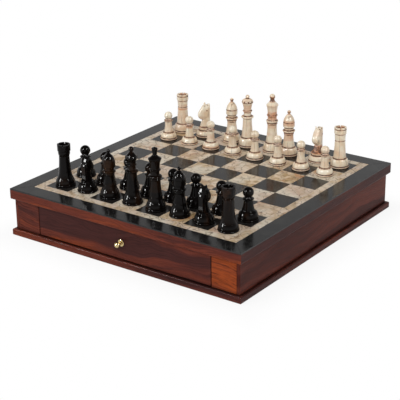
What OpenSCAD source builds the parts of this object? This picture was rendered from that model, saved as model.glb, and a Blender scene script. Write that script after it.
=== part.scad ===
// Chess box: an inlaid board on a low carcass with a drawer at each end, and its two sides of
// turned and carved pieces. +X runs to the right and +Y away from the front drawer. The origin
// is on the underside, in the middle. Light and dark sides are called white and black.

/* [Board] */
// Side of one square
square = 40; // [36:1:60]
// Width of the light band round the squares
light_band = 12; // [6:1:20]
// Width of the dark band between the light band and the edge
dark_band = 24; // [12:1:40]
// Thickness of the inlaid squares and bands
inlay_t = 2; // [1:0.5:4]
// Thickness of the wooden board under the inlay
board_t = 14; // [10:1:24]
// Round on the long edges of the board and of the base
edge_r = 2; // [0.5:0.5:4]
// Round on the outer top edge of the dark band
band_edge_r = 1; // [0.3:0.1:1]

/* [Carcass] */
// How far the board stands out past the carcass on every side
overhang = 4.5; // [2:0.5:12]
// How far the base stands out past the carcass on every side
base_lip = 4.5; // [2:0.5:12]
// Thickness of the base board
base_t = 10; // [6:1:16]
// Height of the carcass between the base and the board
carcass_h = 45; // [38:1:70]
// Thickness of the two side panels
side_t = 5; // [4:1:14]
// Width of the stile on each side of a drawer
stile_w = 39; // [20:1:60]
// Thickness of the stiles
stile_t = 12; // [8:1:18]
// Thickness of the divider between the two drawers
divider_t = 8; // [5:1:14]
// Width of the guide strips beside a drawer
guide_w = 10; // [6:1:16]
// Height of the guide strips
guide_h = 20; // [10:1:32]

/* [Drawers] */
// Thickness of a drawer front
front_t = 10; // [8:1:16]
// Thickness of a drawer's sides and back
wall_t = 6; // [5:0.5:10]
// Height of a drawer's sides and back
wall_h = 36; // [26:1:37]
// Thickness of a drawer's bottom
bottom_t = 3; // [2:0.5:5]
// Height of the bottom's groove above the lower edge of the sides
groove_up = 3; // [2:0.5:6]
// Depth of the groove that holds the bottom
groove_in = 3; // [1.5:0.5:3.5]
// Thickness of the cloth lining
lining_t = 1; // [0.5:0.5:2]

/* [Knobs] */
// How far a knob stands above the middle of its drawer
knob_up = 2.5; // [0:0.5:6]
// Radius of the plate behind a knob
rose_r = 5; // [4:0.5:12]
// Thickness of that plate
rose_t = 1.5; // [1:0.5:3]
// Radius of the knob's neck
neck_r = 2.3; // [2:0.1:3.5]
// Length of the neck
neck_l = 3; // [2:0.5:8]
// Radius of the knob's head
head_r = 4.2; // [4:0.1:9]
// Radius of the screw's shank
screw_r = 1.5; // [1:0.1:1.6]
// Depth of the screw inside the knob
screw_in = 5; // [3:0.5:6]
// Radius of the screw's head
screw_head_r = 3.4; // [2.6:0.1:5]
// Height of the screw's head
screw_head_h = 1.8; // [1:0.1:3]
// Width of the slot in the screw's head
screw_slot = 0.8; // [0.5:0.1:1.2]

/* [Turned feet] */
// Radius of the foot of every white piece but the pawns
foot_r = 14; // [11:0.5:16]
// Radius of a white pawn's foot
pawn_foot_r = 13; // [10:0.5:15]
// Height of the ring round the bottom of a foot
foot_ring = 2.8; // [2:0.1:4]
// Height of the groove above that ring
foot_groove = 0.8; // [0.5:0.1:1.5]
// Height of the scribed line where a dome meets a stem
scribe = 0.6; // [0.4:0.1:1]
// Half the height of a small ring round a stem
ring_h = 1.2; // [0.8:0.1:1.6]
// How much a stem hollows in between its ends
stem_hollow = 0.5; // [0:0.1:1]

/* [Black feet] */
// Radius of the foot of every black piece
black_foot_r = 14.5; // [13:0.1:16]
// Height of the shoulder over a black foot
shoulder_h = 7.8; // [5:0.2:9]
// Radius at the top of that shoulder
shoulder_r = 11.3; // [10.6:0.1:12.5]
// How much the shoulder swells
shoulder_swell = 0.6; // [0:0.1:1]
// Height of the flare between the shoulder and the stem of a black pawn or knight
low_flare = 2.6; // [1:0.2:4]
// Height of that flare on a black bishop, queen or king
tall_flare = 8; // [4:0.2:10]
// Height of that flare on a black rook
rook_flare = 10.6; // [6:0.2:13]

/* [Pawn] */
// Height of the dome over a pawn's foot
pawn_dome = 7.6; // [5:0.2:10]
// Radius of a pawn's stem at the bottom
pawn_stem_r = 6.6; // [5.4:0.1:9]
// Radius of a pawn's stem under the collar
pawn_neck_r = 5.3; // [4:0.1:6]
// Height of a pawn's stem
pawn_stem = 16.8; // [12:0.2:24]
// Radius of a pawn's collar
pawn_collar_r = 6.8; // [6.4:0.1:9]
// Height of a pawn's collar
pawn_collar = 2.2; // [1.5:0.1:4]
// Height of the nape between a pawn's collar and its ball
pawn_nape = 2; // [1:0.1:4]
// Radius of the nape
pawn_nape_r = 4.4; // [3.5:0.1:5.2]
// Radius of a pawn's ball
pawn_ball_r = 6.2; // [5.6:0.1:8]
// Radius of a black pawn's stem at the bottom
black_pawn_stem_r = 8.5; // [6.6:0.1:10]
// Radius of a black pawn's stem under the collar
black_pawn_neck_r = 5.9; // [4.6:0.1:6.5]
// Height of a black pawn's stem
black_pawn_stem = 14; // [10:0.2:20]
// Radius of a black pawn's collar
black_pawn_collar_r = 7.8; // [7:0.1:9]
// Radius of a black pawn's ball
black_pawn_ball_r = 7.4; // [5.6:0.1:8.5]

/* [Rook] */
// Height of the dome over a rook's foot
rook_dome = 10.3; // [7:0.2:14]
// Radius of a rook's tower at the bottom
rook_tower_r = 9.3; // [7.6:0.1:10]
// Radius of a rook's tower at the neck
rook_neck_r = 7.5; // [5.5:0.1:7.9]
// Height of a rook's tower up to the scribed neck
rook_tower = 26; // [18:0.5:36]
// Height of the drum between the neck and the battlement
rook_drum = 9.6; // [5:0.2:14]
// Radius of the drum at its top
rook_drum_r = 8; // [6.5:0.1:8.4]
// Radius of a rook's battlement
rook_top_r = 8.9; // [8.5:0.1:11]
// Height of a rook's battlement
rook_top = 9; // [7:0.2:12]
// Wall left round the hollow in a rook's battlement
rook_wall = 2.6; // [1.8:0.1:3.4]
// Depth of the hollow
rook_deep = 4; // [2.6:0.1:6]
// Number of slots in a rook's battlement
rook_slots = 6; // [4:1:8]
// Width of one slot
rook_slot_w = 1; // [0.6:0.1:2]
// Depth of one slot
rook_slot_h = 2.4; // [1:0.1:2.5]
// Radius of a black rook's tower above its flare
black_tower_r = 8.8; // [7.6:0.1:10]
// Radius of a black rook's tower at the neck
black_rook_neck_r = 7.4; // [5.5:0.1:7.9]
// Height of a black rook's tower up to the scribed neck
black_tower = 21.4; // [14:0.2:30]
// Height of a black rook's drum
black_drum = 7; // [4:0.2:10]
// Radius of a black rook's drum at its top
black_drum_r = 8.3; // [6.5:0.1:8.6]
// How much a black rook's drum swells
black_drum_swell = 0.5; // [0:0.1:0.8]
// Radius of a black rook's battlement
black_rook_top_r = 9.3; // [8.7:0.1:11]
// Height of a black rook's battlement
black_rook_top = 8.7; // [7:0.1:12]

/* [Bishop] */
// Height of the dome over a bishop's foot
bishop_dome = 9.6; // [7:0.2:14]
// Radius of a bishop's stem at the bottom
bishop_stem_r = 9.2; // [7:0.1:10]
// Radius of a bishop's stem at the top
bishop_neck_r = 6.8; // [5:0.1:7]
// Height of a bishop's stem
bishop_stem = 18.6; // [12:0.2:26]
// Radius of the small ring on top of the stem
bishop_ring_r = 7.6; // [7.1:0.1:8.5]
// Radius of a bishop's collar
bishop_collar_r = 9.4; // [8.6:0.1:11]
// Height of a bishop's collar
bishop_collar = 3.4; // [2:0.2:5]
// Height of the neck under a bishop's mitre
mitre_neck = 3.6; // [2:0.2:5]
// Radius of that neck at its top
mitre_neck_r = 7.2; // [5:0.1:7.6]
// Greatest radius of a bishop's mitre
mitre_r = 8.6; // [7.8:0.1:10]
// Height of the upright side of a mitre
mitre_side = 7; // [3:0.2:9]
// Height of the mitre above that side
mitre_h = 12.8; // [9:0.2:18]
// Radius of the ball on a bishop's mitre
mitre_ball_r = 2.7; // [2.2:0.1:4]
// Width of the slit in a mitre
slit_w = 1.2; // [0.8:0.1:2]
// Radius of a black bishop's stem above its flare
black_bishop_stem_r = 9.4; // [7.5:0.1:10.5]
// Radius of a black bishop's stem at the top
black_bishop_neck_r = 7.1; // [5:0.1:7.3]
// Greatest radius of a black bishop's mitre
black_mitre_r = 8.9; // [7.8:0.1:10]

/* [Queen] */
// Height of the dome over a queen's foot
queen_dome = 11.4; // [8:0.2:15]
// Radius of a queen's stem at the bottom
queen_stem_r = 9; // [7.5:0.1:10.5]
// Radius of a queen's stem at the top
queen_neck_r = 6.7; // [5:0.1:7]
// Height of a queen's stem
queen_stem = 29.4; // [22:0.2:38]
// Radius of a queen's collar
queen_collar_r = 8.9; // [8:0.1:11]
// Height of a queen's collar
queen_collar = 3.8; // [2:0.2:5]
// Radius of a queen's waist, between her collars and her coronet
queen_waist_r = 5.8; // [4.5:0.1:6.4]
// Radius of the small ring round a queen's waist
queen_ring_r = 7.2; // [6.8:0.1:8.5]
// Height of a queen's coronet
coronet_h = 12.6; // [8:0.2:15]
// Radius of the rim of a coronet
coronet_r = 8.6; // [7.5:0.1:10.5]
// Height of the dome inside a coronet
coronet_dome = 3.8; // [2.4:0.2:6]
// Number of scallops round a coronet
scallops = 8; // [6:1:12]
// Radius of one scallop
scallop_r = 1.5; // [1:0.1:2]
// Radius of the ball on a coronet
queen_ball_r = 3.1; // [2.4:0.1:4]
// Radius of a black queen's stem above her flare
black_queen_stem_r = 9.2; // [7.5:0.1:10.5]
// Radius of a black queen's stem at the top
black_queen_neck_r = 6.9; // [5:0.1:7.2]
// Height of a black queen's coronet
black_coronet_h = 8; // [5:0.2:12]
// Height of the cone inside a black queen's coronet
coronet_cone = 7.4; // [4:0.2:9]
// Radius of the ball on that cone
black_queen_ball_r = 3.6; // [2.4:0.1:4.4]

/* [King] */
// Height of the dome over a king's foot
king_dome = 10.8; // [8:0.2:15]
// Radius of a king's stem at the bottom
king_stem_r = 9.2; // [7.5:0.1:10.5]
// Radius of a king's stem at the top
king_neck_r = 6.9; // [5:0.1:7.2]
// Height of a king's stem
king_stem = 27.4; // [20:0.2:36]
// Radius of a king's collar
king_collar_r = 8.9; // [8:0.1:11]
// Height of a king's collar
king_collar = 4; // [2.4:0.2:5]
// Radius of a king's waist, between his collars and his crown
king_waist_r = 7; // [5:0.1:7.4]
// Radius of the small rings on a king's stem and waist
king_ring_r = 8; // [7.7:0.1:8.6]
// Height of a king's crown under its rim
crown_h = 13.2; // [9:0.2:16]
// Radius of the crown under its rim
crown_top_r = 8.4; // [7:0.1:8.6]
// Radius of the rim
crown_rim_r = 9; // [8.7:0.1:11]
// Height of the cone on the crown
crown_cone = 5.4; // [3:0.2:9]
// Radius of the cone at its top
crown_cone_r = 4; // [3.3:0.1:5]
// Height of the neck on that cone
finial_neck = 4; // [1:0.2:6]
// Radius of the neck at its top
finial_neck_r = 3; // [2:0.1:3.2]
// Radius of the ball on the neck
finial_r = 4.2; // [3.4:0.1:5]
// Radius of a black king's stem above his flare
black_king_stem_r = 9.4; // [7.5:0.1:10.5]
// Radius of a black king's stem at the top
black_king_neck_r = 7.1; // [5:0.1:7.4]
// Radius of a black king's waist
black_king_waist_r = 6.2; // [5:0.1:7.4]
// Height of the cone on a black king's crown
black_cone = 4.6; // [3:0.2:7]
// Radius of the plug on that cone at its bottom
plug_low_r = 2.4; // [1.6:0.1:3]
// Radius of the plug at its top
plug_r = 3.4; // [2.6:0.1:4.4]
// Height of the plug
plug_h = 7.4; // [4:0.2:10]
// Height of the dome on the plug
plug_dome = 1.8; // [1:0.2:3]
// Radius of the bead on that dome
bead_r = 1.6; // [1.2:0.1:2.4]

/* [Knight] */
// Height of the dome over a knight's foot
knight_dome = 7; // [5:0.2:10]
// Radius of the disc that a knight's neck stands on
plinth_r = 8.8; // [8.4:0.1:10.5]
// Height of that disc
plinth_h = 4.6; // [3.6:0.1:6]
// Height of a knight's neck and head above its disc
horse_h = 35.6; // [30:0.2:44]
// How far a knight's nose reaches from the middle of its foot
nose_reach = 10.8; // [9:0.1:12]
// Thickness of a knight's head across the cheeks
horse_w = 11.6; // [9:0.2:13]
// Thickness of a knight's mane
mane_w = 7; // [4:0.1:8]
// How far the mane stands out behind the neck
mane_out = 0.9; // [0.6:0.1:2]
// Length of a knight's ears
ear_l = 3.2; // [2:0.1:6]
// Radius of an ear where it leaves the head
ear_r = 1.7; // [1:0.1:2.2]
// From the middle of the head to the middle of an ear
ear_out = 3.2; // [2.2:0.1:3.6]
// Width of a knight's mouth
mouth_w = 0.8; // [0.4:0.1:1.4]
// Radius of the drill that sinks a knight's eyes
eye_r = 1.1; // [0.7:0.1:1.6]
// Slope of the flat nape of a black knight, in degrees
nape_slope = 24; // [10:1:30]

/* [Fits] */
// Clearance on each side of a drawer, and of its front
side_gap = 0.5; // [0.3:0.1:1.5]
// Clearance over a drawer front
top_gap = 1; // [0.5:0.1:2]
// Clearance under a drawer front
under_gap = 0.5; // [0.3:0.1:1]
// Clearance between the divider and a drawer's back
back_gap = 2; // [0.5:0.5:6]
// Clearance round a screw in its hole through a drawer front
screw_gap = 0.2; // [0.1:0.05:0.4]
// Hairline between two mitred lengths of a band
mitre_gap = 0.1; // [0.05:0.05:0.4]
// How deep a carved form is let into the turning under it
sink = 0.5; // [0.2:0.1:1]

/* [Hidden] */
SIDES = ["black", "white"];
RANK = ["rook_left", "knight_left", "bishop_left", "queen",
    "king", "bishop_right", "knight_right", "rook_right"];
ENDS = ["front", "back"];
CELLS = 8;
DRAWER_PIECES = ["front", "left_side", "right_side", "back", "bottom", "lining", "knob", "knob_screw"];

rosewood = "#5a2a22";
drawer_wood = "#8a5a3c";
slate = "#3b3e40";
bone = "#d8c6a8";
horn = "#141212";
brass = "#c9a04a";
steel = "#9a9a9a";
baize = "#1f4a33";

$fn = 96;
turn_steps = 8; // straight cuts in one curved stretch of a turning
eps = 0.01;

// Levels and outlines of the box
field = CELLS * square;
light_side = field + 2 * light_band;
board_side = light_side + 2 * dark_band;
carcass_side = board_side - 2 * overhang;
base_side = carcass_side + 2 * base_lip;
board_z = base_t + carcass_h;
inlay_z = board_z + board_t;
field_z = inlay_z + inlay_t;

// The drawer opening and the drawer in it
opening_w = carcass_side - 2 * (side_t + stile_w);
drawer_w = opening_w - 2 * side_gap;
front_h = carcass_h - top_gap - under_gap;
drawer_l = carcass_side / 2 - divider_t / 2 - back_gap;
knob_z = base_t + under_gap + front_h / 2 + knob_up;
bottom_z = base_t + groove_up;
tray_w = drawer_w - 2 * wall_t;
tray_l = drawer_l - front_t - wall_t;

// Kinds of cut in a turning. A row is [kind, rise, radius at the end, swell]
STRAIGHT = 0;
BOW = 1; // a shallow curve
BEAD = 2; // half an ellipse, standing out, or a groove where the swell is negative
DOME = 3; // starts upright and closes in level
BALL = 4; // a ball that starts where the radius before it meets it

function ball(r, from) = [BALL, r + sqrt(r * r - from * from), 0, r];
function spots(row, r, z) =
    row[0] == STRAIGHT ? [[row[2], z + row[1]]] :
    row[0] == BOW ? [for (k = [1 : turn_steps]) let (t = k / turn_steps)
        [r + (row[2] - r) * t + 4 * row[3] * t * (1 - t), z + row[1] * t]] :
    row[0] == BEAD ? [for (k = [1 : turn_steps]) let (a = 180 * k / turn_steps, t = (1 - cos(a)) / 2)
        [r + (row[2] - r) * t + row[3] * sin(a), z + row[1] * t]] :
    row[0] == DOME ? [for (k = [1 : turn_steps]) let (a = 90 * k / turn_steps)
        [row[2] + (r - row[2]) * cos(a), z + row[1] * sin(a)]] :
    let (low = acos(r / row[3]), up = row[3] * sin(low))
        [for (k = [1 : 2 * turn_steps]) let (a = -low + (90 + low) * k / (2 * turn_steps))
            [row[3] * cos(a), z + up + row[3] * sin(a)]];
function traced(rows, r, z = 0, k = 0) =
    k == len(rows) ? [] : concat(spots(rows[k], r, z), traced(rows, rows[k][2], z + rows[k][1], k + 1));
function rise(rows, k = 0) = k == len(rows) ? 0 : rows[k][1] + rise(rows, k + 1);

// The ring and the groove that every foot of radius r starts with
function tread(r) = [
    [BEAD, foot_ring, r - foot_ring / 3, foot_ring / 3],
    [BEAD, foot_groove, r - foot_ring / 3, -foot_groove]
];

// A white foot has a dome and a scribed line under its stem
function domed_foot(r, dome, r_stem) = concat(tread(r), [
    [DOME, dome, r_stem],
    [BEAD, scribe, r_stem, -scribe / 2]
]);

// A black foot has a shoulder that runs on into its stem in a hollow flare
function flared_foot(flare, r_stem) = concat(tread(black_foot_r), [
    [BOW, shoulder_h, shoulder_r, shoulder_swell],
    [BOW, flare, r_stem, -stem_hollow]
]);

// What a black stem gives up where its foot rises higher than the white one
function taller(dome, flare) = shoulder_h + flare - dome - scribe;

function pawn_rows(foot, stem, r_neck, r_collar, r_ball) = concat(foot, [
    [BOW, stem, r_neck, -stem_hollow],
    [BEAD, pawn_collar, r_neck, r_collar - r_neck],
    [BOW, pawn_nape, pawn_nape_r, 0],
    ball(r_ball, pawn_nape_r)
]);

function rook_rows(foot, tower, r_neck, drum, r_drum, swell, r_top, top) = concat(foot, [
    [BOW, tower, r_neck, -stem_hollow / 2],
    [BEAD, scribe, r_neck, -scribe / 2],
    [BOW, drum, r_drum, swell],
    [STRAIGHT, scribe, r_top],
    [STRAIGHT, top, r_top],
    [STRAIGHT, 0, 0]
]);

function bishop_rows(foot, stem, r_neck, r_mitre) = concat(foot, [
    [BOW, stem, r_neck, -stem_hollow],
    [BEAD, 2 * ring_h, r_neck, bishop_ring_r - r_neck],
    [STRAIGHT, ring_h, r_neck],
    [BEAD, bishop_collar, r_neck, bishop_collar_r - r_neck],
    [BOW, mitre_neck, mitre_neck_r, 0],
    [BOW, ring_h, r_mitre, 0],
    [BOW, mitre_side, r_mitre, 0],
    [STRAIGHT, scribe / 2, r_mitre - scribe / 2],
    [BOW, mitre_h, mitre_ball_r / 2, r_mitre / 5],
    ball(mitre_ball_r, mitre_ball_r / 2)
]);

function queen_rows(foot, stem, r_neck, coronet, top) = concat(foot, [
    [BOW, stem, r_neck, -stem_hollow],
    [BEAD, queen_collar, queen_waist_r, queen_collar_r - queen_waist_r],
    [BOW, 5 * ring_h, queen_waist_r, -stem_hollow / 2],
    [BEAD, 2 * ring_h, queen_waist_r, queen_ring_r - queen_waist_r],
    [BOW, coronet, coronet_r, -1.5 * stem_hollow],
    [BEAD, 1.5 * ring_h, coronet_r - ring_h / 2, ring_h / 4]
], top);

function king_rows(foot, stem, r_neck, r_waist, top) = concat(foot, [
    [BOW, stem, r_neck, -stem_hollow],
    [BEAD, 2 * ring_h, r_neck, king_ring_r - r_neck],
    [STRAIGHT, ring_h / 2, r_neck],
    [BEAD, king_collar, r_waist, king_collar_r - r_waist],
    [BOW, 5 * ring_h, r_waist, -stem_hollow / 2],
    [BEAD, 2 * ring_h, r_waist, king_ring_r - r_waist],
    [BOW, crown_h, crown_top_r, -stem_hollow],
    [STRAIGHT, scribe, crown_rim_r],
    [STRAIGHT, ring_h, crown_rim_r]
], top);

function knight_foot_rows(foot, plinth) = concat(foot, [
    [BEAD, plinth, plinth_r, scribe],
    [STRAIGHT, 0, 0]
]);

// What stands on the rim of a coronet or of a crown
white_coronet_top = [[DOME, coronet_dome, queen_ball_r / 2], ball(queen_ball_r, queen_ball_r / 2)];
black_coronet_top = [
    [BOW, coronet_cone, black_queen_ball_r / 2, stem_hollow],
    ball(black_queen_ball_r, black_queen_ball_r / 2)
];
white_crown_top = [
    [BOW, crown_cone, crown_cone_r, 0],
    [BOW, finial_neck, finial_neck_r, -stem_hollow / 2],
    ball(finial_r, finial_neck_r)
];
black_crown_top = [
    [BOW, black_cone, plug_low_r, -stem_hollow / 2],
    [BOW, plug_h, plug_r, 0],
    [DOME, plug_dome, bead_r * 0.7],
    ball(bead_r, bead_r * 0.7)
];

white_pawn_rows = pawn_rows(
    domed_foot(pawn_foot_r, pawn_dome, pawn_stem_r), pawn_stem, pawn_neck_r, pawn_collar_r, pawn_ball_r
);
black_pawn_rows = pawn_rows(
    flared_foot(low_flare, black_pawn_stem_r),
    black_pawn_stem, black_pawn_neck_r, black_pawn_collar_r, black_pawn_ball_r
);
white_rook_rows = rook_rows(
    domed_foot(foot_r, rook_dome, rook_tower_r),
    rook_tower, rook_neck_r, rook_drum, rook_drum_r, 0, rook_top_r, rook_top
);
black_rook_rows = rook_rows(
    flared_foot(rook_flare, black_tower_r),
    black_tower, black_rook_neck_r,
    black_drum, black_drum_r, black_drum_swell,
    black_rook_top_r, black_rook_top
);
white_bishop_rows = bishop_rows(
    domed_foot(foot_r, bishop_dome, bishop_stem_r), bishop_stem, bishop_neck_r, mitre_r
);
black_bishop_rows = bishop_rows(
    flared_foot(tall_flare, black_bishop_stem_r),
    bishop_stem - taller(bishop_dome, tall_flare), black_bishop_neck_r, black_mitre_r
);
white_queen_rows = queen_rows(
    domed_foot(foot_r, queen_dome, queen_stem_r), queen_stem, queen_neck_r, coronet_h, white_coronet_top
);
black_queen_rows = queen_rows(
    flared_foot(tall_flare, black_queen_stem_r),
    queen_stem - taller(queen_dome, tall_flare), black_queen_neck_r, black_coronet_h, black_coronet_top
);
white_king_rows = king_rows(
    domed_foot(foot_r, king_dome, king_stem_r), king_stem, king_neck_r, king_waist_r, white_crown_top
);
black_king_rows = king_rows(
    flared_foot(tall_flare, black_king_stem_r),
    king_stem - taller(king_dome, tall_flare), black_king_neck_r, black_king_waist_r, black_crown_top
);
white_knight_rows = knight_foot_rows(domed_foot(foot_r, knight_dome, plinth_r), plinth_h);
black_knight_rows = knight_foot_rows(
    flared_foot(low_flare, plinth_r), plinth_h - taller(knight_dome, low_flare)
);

// Square outline of a board with its long edges rounded, low_r below and high_r above
module board_edge_profile(side, t, low_r, high_r) {
    union() {
        translate([low_r - side / 2, 0]) square([side - 2 * low_r, t]);
        translate([-side / 2, low_r]) square([side, t - low_r - high_r]);
        translate([high_r - side / 2, t / 2]) square([side - 2 * high_r, t / 2]);
        for (m = [-1, 1]) {
            if (low_r > 0) translate([m * (side / 2 - low_r), low_r]) circle(r = low_r);
            if (high_r > 0) translate([m * (side / 2 - high_r), t - high_r]) circle(r = high_r);
        }
    }
}

module rounded_board(side, t, low_r, high_r) {
    intersection() {
        translate([0, side / 2, 0]) rotate([90, 0, 0]) linear_extrude(side)
            board_edge_profile(side, t, low_r, high_r);
        translate([-side / 2, 0, 0]) rotate([90, 0, 90]) linear_extrude(side)
            board_edge_profile(side, t, low_r, high_r);
    }
}

// One of the four mitred lengths round the board, between two squares of the given sides
module mitred_length(inner, outer) {
    linear_extrude(inlay_t) polygon([
        [mitre_gap / 2 - outer / 2, -outer / 2],
        [outer / 2 - mitre_gap / 2, -outer / 2],
        [inner / 2 - mitre_gap / 2, -inner / 2],
        [mitre_gap / 2 - inner / 2, -inner / 2]
    ]);
}

module base_board() {
    color(rosewood) rounded_board(base_side, base_t, edge_r, edge_r);
}

module side_panel(m) {
    color(rosewood) translate([m * (carcass_side - side_t) / 2, 0, base_t + carcass_h / 2])
        cube([side_t, carcass_side, carcass_h], center = true);
}

module stiles() {
    for (m = [-1, 1]) {
        color(rosewood)
            translate([m * (opening_w + stile_w) / 2, (stile_t - carcass_side) / 2, base_t + carcass_h / 2])
                cube([stile_w, stile_t, carcass_h], center = true);
    }
}

module divider() {
    color(drawer_wood) translate([0, 0, base_t + carcass_h / 2])
        cube([carcass_side - 2 * side_t, divider_t, carcass_h], center = true);
}

module drawer_guides() {
    guide_l = (carcass_side - divider_t) / 2 - stile_t;
    for (m = [-1, 1], e = [-1, 1]) {
        color(drawer_wood)
            translate([m * (opening_w + guide_w) / 2, e * (divider_t + guide_l) / 2, base_t + guide_h / 2])
                cube([guide_w, guide_l, guide_h], center = true);
    }
}

module top_board() {
    color(rosewood) translate([0, 0, board_z]) rounded_board(board_side, board_t, edge_r, 0);
}

module dark_band() {
    color(slate) translate([0, 0, inlay_z]) for (a = [0 : 90 : 270]) {
        intersection() {
            rotate([0, 0, a]) mitred_length(light_side, board_side);
            rounded_board(board_side, inlay_t, 0, band_edge_r);
        }
    }
}

module light_band() {
    color(bone) translate([0, 0, inlay_z]) for (a = [0 : 90 : 270]) {
        rotate([0, 0, a]) mitred_length(field, light_side);
    }
}

// The squares whose column and row add up to an even number are dark
module squares(odd, tint) {
    color(tint) for (i = [0 : CELLS - 1], j = [0 : CELLS - 1]) {
        if ((i + j) % 2 == odd) {
            translate([i * square - field / 2, j * square - field / 2, inlay_z])
                cube([square, square, inlay_t]);
        }
    }
}

// The drawers are drawn for the front end, where their fronts face -Y
module at_end(e) {
    rotate([0, 0, e == "back" ? 180 : 0]) children();
}

module bottom_panel(t, z, grow) {
    translate([0, front_t + tray_l / 2 - carcass_side / 2, z + t / 2])
        cube([tray_w + 2 * grow, tray_l + 2 * grow, t], center = true);
}

module drawer_front() {
    color(rosewood) difference() {
        translate([0, (front_t - carcass_side) / 2, base_t + under_gap + front_h / 2])
            cube([drawer_w, front_t, front_h], center = true);
        bottom_panel(bottom_t, bottom_z, groove_in);
        translate([0, -carcass_side / 2 - eps, knob_z]) rotate([-90, 0, 0])
            cylinder(r = screw_r + screw_gap, h = front_t + 2 * eps);
    }
}

module drawer_side(m) {
    color(drawer_wood) difference() {
        translate([m * (drawer_w - wall_t) / 2, (front_t + drawer_l - carcass_side) / 2, base_t + wall_h / 2])
            cube([wall_t, drawer_l - front_t, wall_h], center = true);
        bottom_panel(bottom_t, bottom_z, groove_in);
    }
}

module drawer_back() {
    color(drawer_wood) difference() {
        translate([0, drawer_l - wall_t / 2 - carcass_side / 2, base_t + wall_h / 2])
            cube([tray_w, wall_t, wall_h], center = true);
        bottom_panel(bottom_t, bottom_z, groove_in);
    }
}

module drawer_bottom() {
    color(drawer_wood) bottom_panel(bottom_t, bottom_z, groove_in);
}

module drawer_lining() {
    color(baize) bottom_panel(lining_t, bottom_z + bottom_t, 0);
}

// Along the knob: plate, neck and a ball, bored for its screw from behind
module drawer_knob() {
    rows = [
        [STRAIGHT, rose_t / 2, rose_r],
        [DOME, rose_t / 2, neck_r],
        [BOW, neck_l, neck_r, -stem_hollow / 2],
        ball(head_r, neck_r)
    ];
    color(brass) translate([0, -carcass_side / 2, knob_z]) rotate([90, 0, 0]) difference() {
        rotate_extrude() polygon(concat([[0, 0], [rose_r, 0]], traced(rows, rose_r)));
        translate([0, 0, -eps]) cylinder(r = screw_r, h = screw_in + eps);
    }
}

module drawer_knob_screw() {
    color(steel) translate([0, front_t - carcass_side / 2, knob_z]) rotate([90, 0, 0]) difference() {
        union() {
            cylinder(r = screw_r, h = front_t + screw_in);
            translate([0, 0, -screw_head_h]) cylinder(r = screw_head_r, h = screw_head_h);
        }
        translate([-screw_head_r - eps, -screw_slot / 2, -screw_head_h - eps])
            cube([2 * screw_head_r + 2 * eps, screw_slot, screw_head_h / 2 + eps]);
    }
}

// A piece turned from its rows, on a foot of radius r
module turned(rows, r) {
    rotate_extrude() polygon(concat([[0, 0], [r - foot_ring / 3, 0]], traced(rows, r - foot_ring / 3)));
}

module rook(rows, r, r_top) {
    difference() {
        turned(rows, r);
        translate([0, 0, rise(rows) - rook_deep]) cylinder(r = r_top - rook_wall, h = rook_deep + eps);
        for (k = [0 : rook_slots - 1]) {
            rotate([0, 0, 360 * k / rook_slots]) translate([0, -rook_slot_w / 2, rise(rows) - rook_slot_h])
                cube([r_top + 1, rook_slot_w, rook_slot_h + eps]);
        }
    }
}

module bishop(rows, r) {
    slit_z = rise(rows) - 2 * mitre_ball_r - mitre_h * 0.4;
    difference() {
        turned(rows, r);
        translate([mitre_r * 0.3, 0, slit_z]) rotate([0, -50, 0]) translate([0, -mitre_r, 0])
            cube([2 * mitre_r, 2 * mitre_r, slit_w]);
    }
}

// The coronet's scallops are drilled across its rim, which the last two rows stand on
module queen(rows, r) {
    last = len(rows) - 1;
    rim_z = rise(rows) - rows[last][1] - rows[last - 1][1];
    difference() {
        turned(rows, r);
        for (k = [0 : scallops - 1]) {
            rotate([0, 0, 360 * k / scallops]) translate([coronet_r - scallop_r, 0, rim_z])
                rotate([0, 90, 0]) cylinder(r = scallop_r, h = 3 * scallop_r);
        }
    }
}

// Sections through a horse, from the plinth up its neck and down its face. Each runs from a point
// on the back or the brow to a point on the chest or the throat, [x forward, z up], and has a
// width. x is a share of the nose's reach, z of the horse's height, and width of its own width.
HORSE = [
    [[-0.65, -0.02], [0.74, -0.02], 0.94],
    [[-0.66, 0.12], [0.64, 0.1], 0.86],
    [[-0.66, 0.24], [0.54, 0.19], 0.81],
    [[-0.66, 0.36], [0.45, 0.27], 0.79],
    [[-0.66, 0.5], [0.37, 0.305], 0.81],
    [[-0.66, 0.64], [0.32, 0.31], 0.93],
    [[-0.66, 0.82], [0.32, 0.313], 0.99],
    [[-0.65, 0.97], [0.36, 0.318], 1],
    [[-0.38, 1], [0.4, 0.322], 1],
    [[0.14, 1], [0.46, 0.328], 0.98],
    [[0.42, 0.91], [0.57, 0.34], 0.95],
    [[0.62, 0.8], [0.68, 0.36], 0.9],
    [[0.8, 0.72], [0.79, 0.385], 0.82],
    [[0.94, 0.645], [0.89, 0.425], 0.7],
    [[1, 0.575], [0.965, 0.465], 0.5]
];
ring_points = 18;
ring_steps = 2; // rings between one section and the next
squareness = 2.8; // 2 makes each section an ellipse
ear_splay = 10; // degrees

function midway(a, b, c, d, t) =
    (2 * b + (c - a) * t + (2 * a - 5 * b + 4 * c - d) * t * t + (3 * b - a - 3 * c + d) * t * t * t) / 2;
function section(s) =
    let (
        i = floor(s / ring_steps),
        t = s / ring_steps - i,
        last = len(HORSE) - 1,
        rows = [HORSE[max(i - 1, 0)], HORSE[i], HORSE[min(i + 1, last)], HORSE[min(i + 2, last)]]
    )
    [for (k = [0 : 2]) midway(rows[0][k], rows[1][k], rows[2][k], rows[3][k], t)];
function bent(v) = sign(v) * pow(abs(v), 2 / squareness);
function ring(cut) =
    let (
        back = [cut[0][0] * nose_reach, cut[0][1] * horse_h],
        front = [cut[1][0] * nose_reach, cut[1][1] * horse_h]
    )
    [for (k = [0 : ring_points - 1])
        let (
            a = 360 * k / ring_points,
            p = (back + front) / 2 + (front - back) / 2 * bent(cos(a))
        )
        [p[0], cut[2] * horse_w / 2 * bent(sin(a)), p[1]]];

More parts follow.
